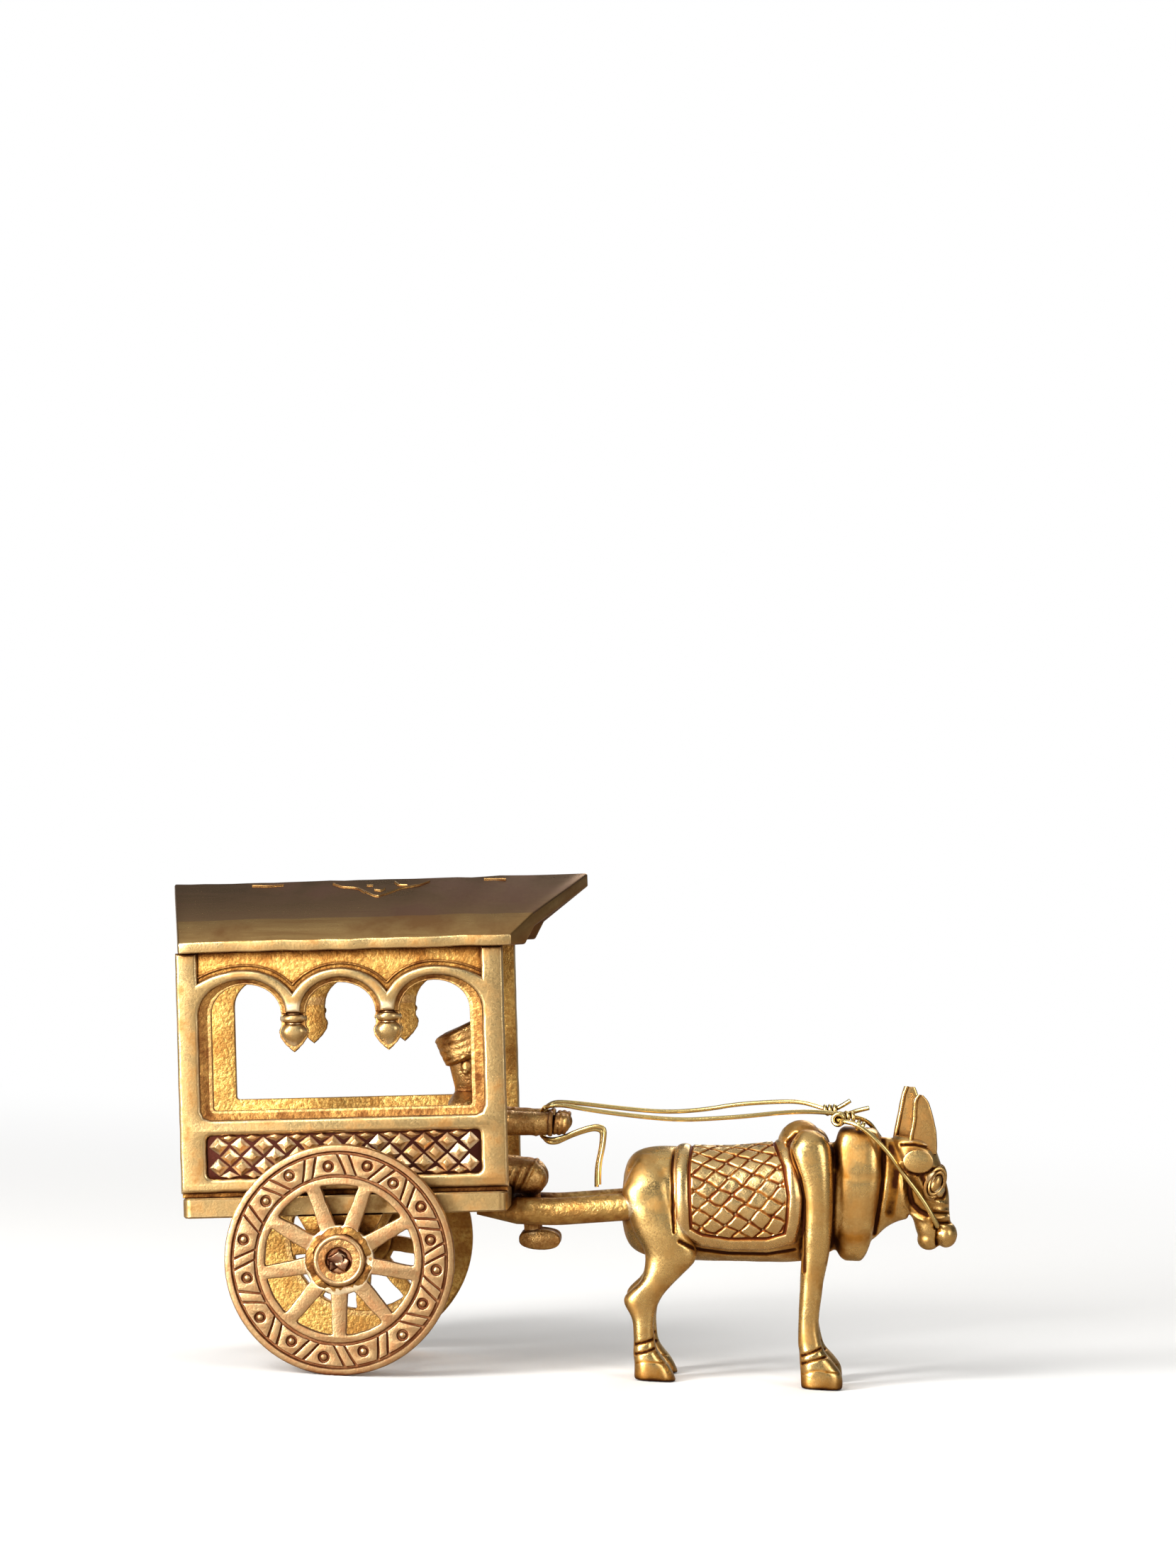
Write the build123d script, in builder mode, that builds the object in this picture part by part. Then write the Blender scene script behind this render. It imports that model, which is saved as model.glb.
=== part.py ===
# Cast brass miniature of a covered bullock cart, in millimetres.
# +X points ahead to the bullock, +Y to the cart's left, +Z up, with the ground at z = 0.
import os
from math import cos, radians, sin

from build123d import *

os.makedirs("parts", exist_ok=True)

# Wheels and axle
wheel_r = 20.3
wheel_half_thick = 1.1
wheel_mid_y = 22.5
ring_inner_r = 13.25
outer_groove_r = 18.9
inner_groove_r = 14.75
groove_width = 0.4
dot_count = 16
dot_ring_r = 16.9
dot_r = 0.65
dot_height = 0.2
groove_depth = 0.3
spoke_count = 9
spoke_width = 2.4
spoke_thick = 1.5
spoke_start = -7.4
hub_base_r = 5.3
hub_r = 4.6
hub_outer = 1.9
hub_inner = 2.6
rivet_recess_r = 2.2
rivet_recess_depth = 1.1
axle_r = 1.5
axle_clearance = 0.06
rivet_r = 1.9
rivet_gap = 0.12
axle_x = -36.9

# Floor plate, which rises a little towards the front
cart_tilt = 4.2
deck_rise = 11.1
floor_length = 57.6
floor_half = 19.2
floor_thick = 3.55
floor_corner_r = 1.5

# Side walls
wall_length = 58.2
wall_height = 43.4
wall_outer = 18.6
wall_thick = 2.4
relief = 0.8
foot_groove = 0.7
foot_groove_depth = 0.5
post_width = 3.9
bottom_rail_top = 3.3
mid_rail_bottom = 11.0
mid_rail_top = 13.7
sill = 15.3
window_half = 23.0
arch_spring = 32.4
arch_rise = 5.2
band_half = 9.4
band_rise = 7.8
pendant_neck = 4.3
pendant_drop = 7.1
pendant_bud_r = 2.65
pendant_bud_drop = 3.5
pendant_waist_r = 1.9
pendant_ring_r = 2.25
pendant_ring_drop = 1.3
pendant_ring_height = 1.1
pendant_stem = 1.6
reveal = 0.9
reveal_depth = 0.45
lattice_half = 24.4
lattice_count = 13
lattice_gap = 0.3
stud_height = 0.6
stud_taper = 42

# Roof
eave_half = 20.0
eave_rear = -28.2
eave_front = 30.6
crown_rear = -31.3
crown_front = 43.7
fascia = 1.9
crease_y = 14.0
crease_rise = 5.6
crown_rise = 12.1
roof_thick = 2.5

# Brackets under the floor
bracket_top_half = 7.5
bracket_boss_r = 3.4
bracket_thick = 4.2
bracket_gap = 0.3

# Shafts, whose first three stations count from the floor's front edge and the last from the ground
shaft_y = 6.0
shaft_r = 2.45
shaft_tip_r = 0.9
shaft_tip_x, shaft_tip_z = -6.0, -4.6
shaft_shoulder_x, shaft_shoulder_z = 1.2, -4.4
shaft_bend_x, shaft_bend_z = 8.2, -4.3
shaft_socket_x, shaft_socket_z = 15.0, 31.0
shaft_bend_r = 40

# Bullock
cloth_rear = 22.2
cloth_front = 43.4
cloth_bottom = 24.0
cloth_sag = 1.2
cloth_thick = 0.55
cloth_field_thick = 0.25
cloth_border = 2.3
hump_x, hump_z = 43.2, 43.0
hump_r = 4.4
hoof_height = 4.8
hoof_corner_r = 1.2
eye_x, eye_y, eye_z = 67.5, 2.5, 37.4
eye_length, eye_height = 2.6, 1.5
eye_lid = 0.6
eye_reach = 1.4
upper_lip_x, upper_lip_z = 70.0, 28.1
upper_lip_r = 2.1
lower_lip_x, lower_lip_z = 66.9, 27.1
lower_lip_r = 2.1
ear_x, ear_z = 64.2, 41.5
ear_length, ear_height = 5.2, 3.8
ear_reach = 8.2

# Driver, whose places count from the floor's front edge
arm_r = 2.2
elbow_y = 5.0
hand_x, hand_y, hand_z = 8.2, 4.2, 11.4
hand_r = 2.0
leg_y = 3.3
knee_x, knee_z = 2.9, 1.2
knee_r = 3.2
calf_y = 1.85
calf_r = 1.5
ankle_x, ankle_z = 4.2, -9.5
foot_x, foot_z = 5.3, -9.7
foot_length, foot_height = 7.6, 3.6
foot_width = 3.4
foot_round = 1.3

# Wires
wire_r = 0.4

deck = Plane(
    origin=(axle_x, 0, wheel_r + deck_rise),
    x_dir=(cos(radians(cart_tilt)), 0, sin(radians(cart_tilt))),
    z_dir=(-sin(radians(cart_tilt)), 0, cos(radians(cart_tilt))),
)
wall_face = Plane(
    origin=(axle_x, -wall_outer, wheel_r + deck_rise), x_dir=deck.x_dir, z_dir=(0, -1, 0)
)
cross = Plane(origin=deck.origin, x_dir=(0, 1, 0), z_dir=deck.x_dir)
front_edge = deck.from_local_coords((floor_length / 2, 0, 0))
arch_width = (2 * window_half - 2 * pendant_neck) / 3
arch_pitch = arch_width + pendant_neck


# Wheels
wheel_face = Plane(origin=(axle_x, -wheel_mid_y, wheel_r), x_dir=(1, 0, 0), z_dir=(0, -1, 0))
wheel_section = Plane(origin=wheel_face.origin, x_dir=(1, 0, 0), z_dir=(0, 0, 1))
with BuildPart() as wheel_right:
    with BuildSketch(wheel_face.offset(-wheel_half_thick)):
        Circle(wheel_r)
        Circle(ring_inner_r, mode=Mode.SUBTRACT)
    extrude(amount=2 * wheel_half_thick)
    chamfer(wheel_right.edges().filter_by(GeomType.CIRCLE).sort_by(SortBy.RADIUS)[-2:], length=0.35)
    for groove_r in (outer_groove_r, inner_groove_r):
        with BuildSketch(wheel_face.offset(wheel_half_thick)):
            Circle(groove_r + groove_width / 2)
            Circle(groove_r - groove_width / 2, mode=Mode.SUBTRACT)
        extrude(amount=-groove_depth, mode=Mode.SUBTRACT)
    with BuildSketch(wheel_face.offset(wheel_half_thick)):
        with PolarLocations(dot_ring_r, dot_count):
            Circle(dot_r)
    extrude(amount=dot_height)
    with BuildSketch(wheel_face.offset(-spoke_thick / 2)):
        with PolarLocations((hub_r + ring_inner_r) / 2, spoke_count, start_angle=spoke_start):
            Rectangle(ring_inner_r - hub_r + 2, spoke_width)
    extrude(amount=spoke_thick)
    with BuildSketch(wheel_face.offset(-hub_inner)):
        Circle(hub_base_r)
    extrude(amount=hub_inner + wheel_half_thick)
    with BuildSketch(wheel_face):
        Circle(hub_r)
    extrude(amount=hub_outer)
    fillet(wheel_right.faces().sort_by(Axis.Y)[0].edges(), radius=0.6)
    with BuildSketch(wheel_face.offset(hub_outer)):
        Circle(rivet_recess_r)
    extrude(amount=-rivet_recess_depth, mode=Mode.SUBTRACT)
    with BuildSketch(wheel_face.offset(-hub_inner)):
        Circle(axle_r + axle_clearance)
    extrude(amount=hub_inner + hub_outer, mode=Mode.SUBTRACT)
wheel_right.part.label = "wheel_right"
export_step(wheel_right.part, "parts/wheel_right.step")

with BuildPart() as wheel_left:
    mirror(wheel_right.part, about=Plane.XZ)
wheel_left.part.label = "wheel_left"
export_step(wheel_left.part, "parts/wheel_left.step")


# Axle with riveted ends
rivet_seat = wheel_mid_y + hub_outer - rivet_recess_depth + rivet_gap
rivet_end = wheel_mid_y + hub_outer + 0.1
with BuildPart() as axle:
    with BuildSketch(wheel_section):
        with BuildLine():
            Polyline(
                (0, wheel_mid_y - rivet_end),
                (rivet_r - 0.6, wheel_mid_y - rivet_end),
                (rivet_r, wheel_mid_y - rivet_end + 0.5),
                (rivet_r, wheel_mid_y - rivet_seat),
                (axle_r, wheel_mid_y - rivet_seat),
                (axle_r, wheel_mid_y),
                (0, wheel_mid_y),
                close=True,
            )
        make_face()
    revolve(axis=Axis((axle_x, 0, wheel_r), (0, 1, 0)))
    mirror(about=Plane.XZ)
axle.part.label = "axle"
export_step(axle.part, "parts/axle.step")


# Floor plate
with BuildPart() as floor_plate:
    with BuildSketch(deck):
        RectangleRounded(floor_length, 2 * floor_half, floor_corner_r)
    extrude(amount=-floor_thick)
    chamfer(floor_plate.faces().sort_by(Axis.Z)[0].edges(), length=0.3)
floor_plate.part.label = "floor_plate"
export_step(floor_plate.part, "parts/floor_plate.step")


# Axle brackets
axle_u = -deck_rise * sin(radians(cart_tilt))
axle_v = -deck_rise * cos(radians(cart_tilt))
bracket_face = Plane(
    origin=(axle_x, -(wheel_mid_y - hub_inner - bracket_gap), wheel_r + deck_rise),
    x_dir=deck.x_dir,
    z_dir=(0, -1, 0),
)
with BuildPart() as bracket_right:
    with BuildSketch(bracket_face):
        with BuildLine():
            Polyline(
                (axle_u - bracket_boss_r, axle_v),
                (axle_u - bracket_top_half, -floor_thick),
                (axle_u + bracket_top_half, -floor_thick),
                (axle_u + bracket_boss_r, axle_v),
                close=True,
            )
        make_face()
        with Locations((axle_u, axle_v)):
            Circle(bracket_boss_r)
            Circle(axle_r, mode=Mode.SUBTRACT)
    extrude(amount=-bracket_thick)
bracket_right.part.label = "axle_bracket_right"
export_step(bracket_right.part, "parts/axle_bracket_right.step")

with BuildPart() as bracket_left:
    mirror(bracket_right.part, about=Plane.XZ)
bracket_left.part.label = "axle_bracket_left"
export_step(bracket_left.part, "parts/axle_bracket_left.step")


# Pierced side walls
with BuildPart() as wall_right:
    with BuildSketch(wall_face.offset(-relief)):
        with Locations((0, wall_height / 2)):
            Rectangle(wall_length, wall_height)
    extrude(amount=-(wall_thick - relief))
    # Posts, rails and the band over the arches stand proud of the panel.
    with BuildSketch(wall_face):
        with Locations(
            (-(wall_length - post_width) / 2, wall_height / 2),
            ((wall_length - post_width) / 2, wall_height / 2),
        ):
            Rectangle(post_width, wall_height)
        with Locations((0, bottom_rail_top / 2)):
            Rectangle(wall_length, bottom_rail_top)
        with Locations((0, (mid_rail_bottom + mid_rail_top) / 2)):
            Rectangle(wall_length, mid_rail_top - mid_rail_bottom)
        for side in (-1, 1):
            with Locations((side * (wall_length / 2 + lattice_half) / 2, mid_rail_bottom / 2)):
                Rectangle(wall_length / 2 - lattice_half, mid_rail_bottom)
        with Locations(*[(step * arch_pitch, arch_spring) for step in (-1, 0, 1)]):
            Ellipse(band_half, band_rise)
        with Locations((0, (sill + arch_spring - band_rise) / 2 - 2)):
            Rectangle(2 * window_half, arch_spring - sill + band_rise, mode=Mode.SUBTRACT)
    extrude(amount=-relief)
    # Window with its three arches
    with BuildSketch(wall_face) as window:
        with Locations((0, (sill + arch_spring) / 2)):
            Rectangle(2 * window_half, arch_spring - sill)
        with Locations(*[(step * arch_pitch, arch_spring) for step in (-1, 0, 1)]):
            Ellipse(arch_width / 2, arch_rise)
    extrude(amount=-wall_thick, mode=Mode.SUBTRACT)
    # Stepped reveal round the window, up to the posts and the middle rail
    with BuildSketch(wall_face):
        with Locations((0, (mid_rail_top + arch_spring) / 2)):
            Rectangle(wall_length - 2 * post_width, arch_spring - mid_rail_top)
        with Locations(*[(step * arch_pitch, arch_spring) for step in (-1, 0, 1)]):
            Ellipse(arch_width / 2 + reveal, arch_rise + reveal)
    extrude(amount=-reveal_depth, mode=Mode.SUBTRACT)
    # Pendants between the arches, turned shapes ground flat on the outside
    for step in (-0.5, 0.5):
        pendant_plane = wall_face.offset(-wall_thick)
        at = step * arch_pitch
        tip = arch_spring - pendant_drop
        bud = arch_spring - pendant_bud_drop
        ring = arch_spring - pendant_ring_drop
        with BuildSketch(pendant_plane):
            with BuildLine():
                RadiusArc((at, tip), (at + pendant_bud_r, bud), -1.8 * pendant_bud_r)
                Polyline(
                    (at + pendant_bud_r, bud),
                    (at + pendant_waist_r, ring - 0.3),
                    (at + pendant_ring_r, ring),
                    (at + pendant_ring_r, ring + pendant_ring_height),
                    (at + pendant_waist_r, ring + pendant_ring_height + 0.4),
                    (at + pendant_waist_r, arch_spring + pendant_stem),
                    (at, arch_spring + pendant_stem),
                    (at, tip),
                )
            make_face()
        revolve(axis=Axis(pendant_plane.from_local_coords((at, 0, 0)), pendant_plane.y_dir))
    with BuildSketch(wall_face):
        with Locations((0, wall_height / 2)):
            Rectangle(wall_length, wall_height)
    extrude(amount=-wall_thick, mode=Mode.INTERSECT)
    # Lattice of pointed studs
    pitch_u = 2 * lattice_half / lattice_count
    pitch_v = (mid_rail_bottom - bottom_rail_top) / 2
    with BuildSketch(wall_face.offset(-relief)):
        with Locations((0, (bottom_rail_top + mid_rail_bottom) / 2)):
            for counts, shift in ((lattice_count, 0), (lattice_count - 1, 1)):
                rows = 2 if shift == 0 else 1
                with GridLocations(pitch_u, pitch_v, counts, rows):
                    Polygon(
                        (pitch_u / 2 - lattice_gap, 0),
                        (0, pitch_v / 2 - lattice_gap),
                        (-pitch_u / 2 + lattice_gap, 0),
                        (0, -pitch_v / 2 + lattice_gap),
                    )
    extrude(amount=stud_height, taper=stud_taper)
    # Groove along the foot
    with BuildSketch(wall_face):
        with Locations((0, foot_groove / 2)):
            Rectangle(wall_length, foot_groove)
    extrude(amount=-foot_groove_depth, mode=Mode.SUBTRACT)
wall_right.part.label = "side_wall_right"
export_step(wall_right.part, "parts/side_wall_right.step")

with BuildPart() as wall_left:
    mirror(wall_right.part, about=Plane.XZ)
wall_left.part.label = "side_wall_left"
export_step(wall_left.part, "parts/side_wall_left.step")


# Roof, a ridged plate that is pointed at both ends in plan
with BuildPart() as roof:
    with BuildSketch(cross):
        with BuildLine():
            Polyline(
                (0, wall_height + crown_rise),
                (crease_y, wall_height + crease_rise),
                (eave_half, wall_height + fascia),
                (eave_half, wall_height),
                (wall_outer - wall_thick, wall_height),
                (crease_y - 0.4, wall_height + crease_rise - roof_thick),
                (0, wall_height + crown_rise - roof_thick),
                close=True,
            )
        make_face()
        mirror(about=Plane.YZ)
    extrude(amount=crown_front + 5, both=True)
    with BuildSketch(deck):
        Polygon(
            (eave_rear, -eave_half),
            (eave_front, -eave_half),
            (crown_front, 0),
            (eave_front, eave_half),
            (eave_rear, eave_half),
            (crown_rear, 0),
            align=None,
        )
    extrude(amount=wall_height + crown_rise + 5, mode=Mode.INTERSECT)
roof.part.label = "roof"
export_step(roof.part, "parts/roof.step")


# Shafts, tapered to a tip under the floor and let into the bullock's rump
shoulder_plane = Plane.YZ.offset(front_edge.X + shaft_shoulder_x)
with BuildPart() as shaft_right:
    with BuildSketch(Plane.YZ.offset(front_edge.X + shaft_tip_x)):
        with Locations((-shaft_y, front_edge.Z + shaft_tip_z)):
            Circle(shaft_tip_r)
    with BuildSketch(shoulder_plane):
        with Locations((-shaft_y, front_edge.Z + shaft_shoulder_z)):
            Circle(shaft_r)
    loft()
    with BuildLine() as shaft_run:
        FilletPolyline(
            (front_edge.X + shaft_shoulder_x, -shaft_y, front_edge.Z + shaft_shoulder_z),
            (front_edge.X + shaft_bend_x, -shaft_y, front_edge.Z + shaft_bend_z),
            (shaft_socket_x, -shaft_y, shaft_socket_z),
            radius=shaft_bend_r,
        )
    with BuildSketch(shoulder_plane):
        with Locations((-shaft_y, front_edge.Z + shaft_shoulder_z)):
            Circle(shaft_r)
    sweep(path=shaft_run.line)
    with BuildSketch(deck):
        Rectangle(floor_length, 2 * floor_half)
    extrude(amount=-floor_thick, mode=Mode.SUBTRACT)
    with BuildSketch(deck):
        Rectangle(floor_length, 2 * floor_half)
    extrude(amount=8, mode=Mode.SUBTRACT)
shaft_right.part.label = "shaft_right"
export_step(shaft_right.part, "parts/shaft_right.step")

with BuildPart() as shaft_left:
    mirror(shaft_right.part, about=Plane.XZ)
shaft_left.part.label = "shaft_left"
export_step(shaft_left.part, "parts/shaft_left.step")


# Wires: each rein runs from the neck to a hand, round the wrist and out to a loose end.
neck_stations = (
    # x, distance from the middle, z above the ground
    (51.0, 1.2, 49.4),
    (46.5, 2.4, 49.6),
    (38.5, 3.8, 48.9),
    (21.0, 4.2, 46.6),
)
hand_stations = (
    # x, distance from the middle and z, all from the centre of the hand
    (4.0, 0.0, 2.8),
    (-3.4, 0.2, 2.9),
    (-4.2, -2.9, 1.9),
    (-4.2, -3.0, -2.1),
    (-2.6, -0.4, -3.2),
    (1.6, 0.0, -3.0),
    (6.4, 0.0, -0.3),
    (8.0, 0.0, -1.3),
    (7.2, 0.0, -10.5),
)
hand_places = [
    (front_edge.X + hand_x + x, hand_y + y, front_edge.Z + hand_z + z) for x, y, z in hand_stations
]
for side, name in ((-1, "right"), (1, "left")):
    with BuildPart() as rein:
        with BuildLine() as rein_run:
            FilletPolyline(*[(x, side * y, z) for x, y, z in (*neck_stations, *hand_places)], radius=0.7)
        with BuildSketch(Plane(origin=rein_run.line @ 0, z_dir=rein_run.line % 0)):
            Circle(wire_r)
        sweep(path=rein_run.line)
    rein.part.label = "rein_" + name
    export_step(rein.part, "parts/rein_" + name + ".step")

nose_stations = (
    # x, distance from the middle, z
    (68.2, 4.2, 29.7),
    (65.3, 5.4, 34.7),
    (61.4, 6.0, 39.3),
    (57.0, 6.3, 44.2),
    (53.4, 5.6, 47.2),
    (52.0, 3.0, 48.5),
)
nose_right = [(x, -y, z) for x, y, z in nose_stations]
nose_left = [(x, y, z) for x, y, z in reversed(nose_stations)]
with BuildPart() as nose_wire:
    with BuildLine() as nose_run:
        FilletPolyline((68.2, 0, 29.6), *nose_right, *nose_left, (68.2, 0.6, 29.6), radius=0.6)
    with BuildSketch(Plane(origin=nose_run.line @ 0, z_dir=nose_run.line % 0)):
        Circle(wire_r)
    sweep(path=nose_run.line)
nose_wire.part.label = "nose_wire"
export_step(nose_wire.part, "parts/nose_wire.step")


# Driver, seated on the floor's front edge with arms held out
torso_sections = (
    # z, x behind, x in front, half width
    (-1.7, -13.3, -3.3, 5.2),
    (4.5, -13.1, -3.8, 5.0),
    (10.5, -13.2, -4.0, 6.0),
    (14.1, -12.4, -5.2, 5.4),
    (16.3, -11.2, -6.8, 2.8),
)
head_sections = (
    # z, x behind, x in front, half width
    (15.5, -11.6, -6.4, 2.7),
    (18.0, -12.7, -4.4, 4.0),
    (21.0, -13.6, -3.8, 4.6),
    (24.5, -15.0, -4.2, 5.0),
    (27.3, -14.0, -6.0, 4.0),
    (28.7, -11.4, -7.4, 1.9),
)
seat = Plane(front_edge)
seat_across = Plane(front_edge, x_dir=(0, 1, 0), z_dir=(1, 0, 0))
with BuildPart() as driver:
    for sections in (torso_sections, head_sections):
        for z, behind, before, half in sections:
            with BuildSketch(seat.offset(z)):
                with Locations(((behind + before) / 2, 0)):
                    Ellipse((before - behind) / 2, half)
        loft()
    for side in (-1, 1):
        # Arm and hand
        with BuildLine(seat) as arm_run:
            FilletPolyline(
                (-8.8, side * elbow_y, hand_z + 0.5),
                (-1.8, side * elbow_y, hand_z - 0.1),
                (hand_x - 0.4, side * hand_y, hand_z - 0.1),
                radius=8,
            )
        with BuildSketch(Plane(origin=arm_run.line @ 0, z_dir=arm_run.line % 0)):
            Circle(arm_r)
        sweep(path=arm_run.line)
        with Locations(seat.from_local_coords((hand_x, side * hand_y, hand_z))):
            Sphere(hand_r)
        # Thigh and knee
        for x, z, r in ((-6.8, knee_z + 0.7, knee_r - 0.3), (knee_x - 0.3, knee_z + 0.2, knee_r - 0.1)):
            with BuildSketch(seat_across.offset(x)):
                with Locations((side * leg_y, z)):
                    Circle(r)
        loft()
        with Locations(seat.from_local_coords((knee_x, side * leg_y, knee_z))):
            Sphere(knee_r)
        # Calf and foot
        for x, z in ((knee_x, knee_z - 1.7), (ankle_x, ankle_z)):
            with BuildSketch(seat.offset(z)):
                with Locations((x, side * calf_y)):
                    Circle(calf_r)
        loft()
        with BuildSketch(Plane(front_edge, x_dir=(1, 0, 0), z_dir=(0, side, 0)).offset(0.3)):
            with Locations((foot_x, -side * foot_z)):
                RectangleRounded(foot_length, foot_height, foot_round)
        extrude(amount=foot_width)
    add(floor_plate.part, mode=Mode.SUBTRACT)
driver.part.label = "driver"
export_step(driver.part, "parts/driver.step")


# Saddle cloth, raised on the bullock's barrel
barrel_sections = (
    # x, z low, z high, half width
    (11.6, 26.5, 37.0, 5.0),
    (14.0, 22.2, 40.4, 7.8),
    (20.0, 21.3, 41.6, 8.7),
    (31.0, 21.4, 42.0, 8.6),
    (41.0, 21.6, 43.6, 8.6),
    (47.5, 22.5, 44.0, 7.4),
    (50.5, 25.0, 43.0, 5.6),
)


def cloth_outline(rear, front, bottom):
    with BuildSketch() as outline:
        with BuildLine():
            Polyline((rear, bottom), (rear, 60), (front, 60), (front, bottom))
            ThreePointArc((front, bottom), ((rear + front) / 2, bottom - cloth_sag), (rear, bottom))
        make_face()
    return outline.sketch


edge_outline = cloth_outline(cloth_rear, cloth_front, cloth_bottom)
field_outline = cloth_outline(
    cloth_rear + cloth_border, cloth_front - cloth_border, cloth_bottom + cloth_border
)
with BuildPart() as cloth_field:
    for x, low, high, half in barrel_sections[2:6]:
        with BuildSketch(Plane.YZ.offset(x)):
            with Locations((0, (low + high) / 2)):
                Ellipse(half + cloth_field_thick, (high - low) / 2 + cloth_field_thick)
    loft()
    with BuildSketch(Plane.XZ):
        add(edge_outline)
    extrude(amount=20, both=True, mode=Mode.INTERSECT)
with BuildPart() as cloth:
    for x, low, high, half in barrel_sections[2:6]:
        with BuildSketch(Plane.YZ.offset(x)):
            with Locations((0, (low + high) / 2)):
                Ellipse(half + cloth_thick, (high - low) / 2 + cloth_thick)
    loft()
    with BuildSketch(Plane.XZ):
        add(edge_outline)
    extrude(amount=20, both=True, mode=Mode.INTERSECT)
    # The crossed field lies a little lower than the border round it.
    with BuildSketch(Plane.XZ):
        add(field_outline)
    extrude(amount=20, both=True, mode=Mode.SUBTRACT)
    add(cloth_field.part)

# Bullock, one casting
flap_sections = (
    # z, x behind, x in front, half width, corner radius
    (46.0, 50.4, 56.8, 3.2, 1.4),
    (42.0, 49.3, 57.9, 5.3, 2.0),
    (36.0, 49.3, 58.1, 5.8, 2.0),
    (30.0, 49.6, 57.2, 5.3, 2.0),
    (26.0, 50.2, 56.4, 4.2, 1.8),
    (22.8, 51.4, 55.2, 2.2, 1.2),
)
neck_sections = (
    # x, z low, z high, half width
    (47.0, 24.5, 44.8, 5.2),
    (52.0, 24.6, 44.8, 4.2),
    (56.0, 26.0, 45.0, 4.0),
    (59.0, 28.6, 45.0, 3.8),
    (62.0, 30.4, 44.6, 3.6),
)
skull_sections = (
    # z, x behind, x in front, half width
    (45.8, 59.8, 65.4, 2.6),
    (42.0, 59.4, 68.0, 4.1),
    (37.6, 60.4, 69.5, 4.1),
    (34.0, 61.8, 70.2, 3.5),
    (31.0, 63.6, 70.6, 2.8),
    (28.6, 64.8, 70.6, 2.5),
    (27.2, 65.6, 69.6, 1.8),
)
hind_leg_sections = (
    # z, x behind, x in front, distance from the middle, half width
    (38.0, 12.8, 20.8, 5.4, 2.9),
    (30.0, 13.4, 23.4, 6.0, 3.2),
    (23.0, 15.6, 25.4, 6.2, 2.9),
    (17.5, 15.2, 21.8, 6.3, 2.4),
    (13.0, 12.9, 18.8, 6.3, 2.1),
    (8.5, 14.4, 18.4, 6.3, 1.8),
    (4.0, 15.0, 19.9, 6.3, 2.2),
)
fore_leg_sections = (
    # z, x behind, x in front, distance from the middle, half width
    (45.6, 42.6, 46.4, 5.4, 1.6),
    (43.8, 41.5, 48.2, 5.9, 3.1),
    (40.0, 41.8, 49.1, 6.2, 3.5),
    (34.0, 43.8, 49.3, 6.3, 3.3),
    (26.0, 44.2, 49.2, 6.3, 2.9),
    (19.0, 44.3, 48.4, 6.3, 2.2),
    (11.0, 44.2, 47.9, 6.3, 1.7),
    (7.5, 44.4, 48.6, 6.3, 1.9),
    (hoof_height, 44.8, 50.0, 6.3, 2.3),
    (2.4, 45.2, 50.8, 6.3, 2.4),
)
hoof_outlines = (
    # x behind and in front at the ground, x behind and in front at the top, half widths
    (15.3, 22.8, 15.1, 20.0, 2.9, 2.5),
    (45.3, 52.6, 44.9, 50.4, 2.9, 2.5),
)
horn_right_sections = (
    # z, x behind, x in front, distance from the middle, half width
    (43.4, 62.2, 67.2, 2.3, 1.3),
    (48.2, 62.7, 66.8, 2.4, 1.2),
    (51.0, 62.8, 65.8, 2.4, 1.0),
    (53.1, 63.4, 64.8, 2.3, 0.7),
)
horn_left_sections = (
    # z, x behind, x in front, distance from the middle, half width
    (43.4, 59.5, 64.4, 2.3, 1.3),
    (49.0, 60.2, 64.2, 2.4, 1.2),
    (52.2, 60.7, 63.8, 2.4, 1.0),
    (54.2, 61.4, 63.0, 2.3, 0.7),
)
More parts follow.
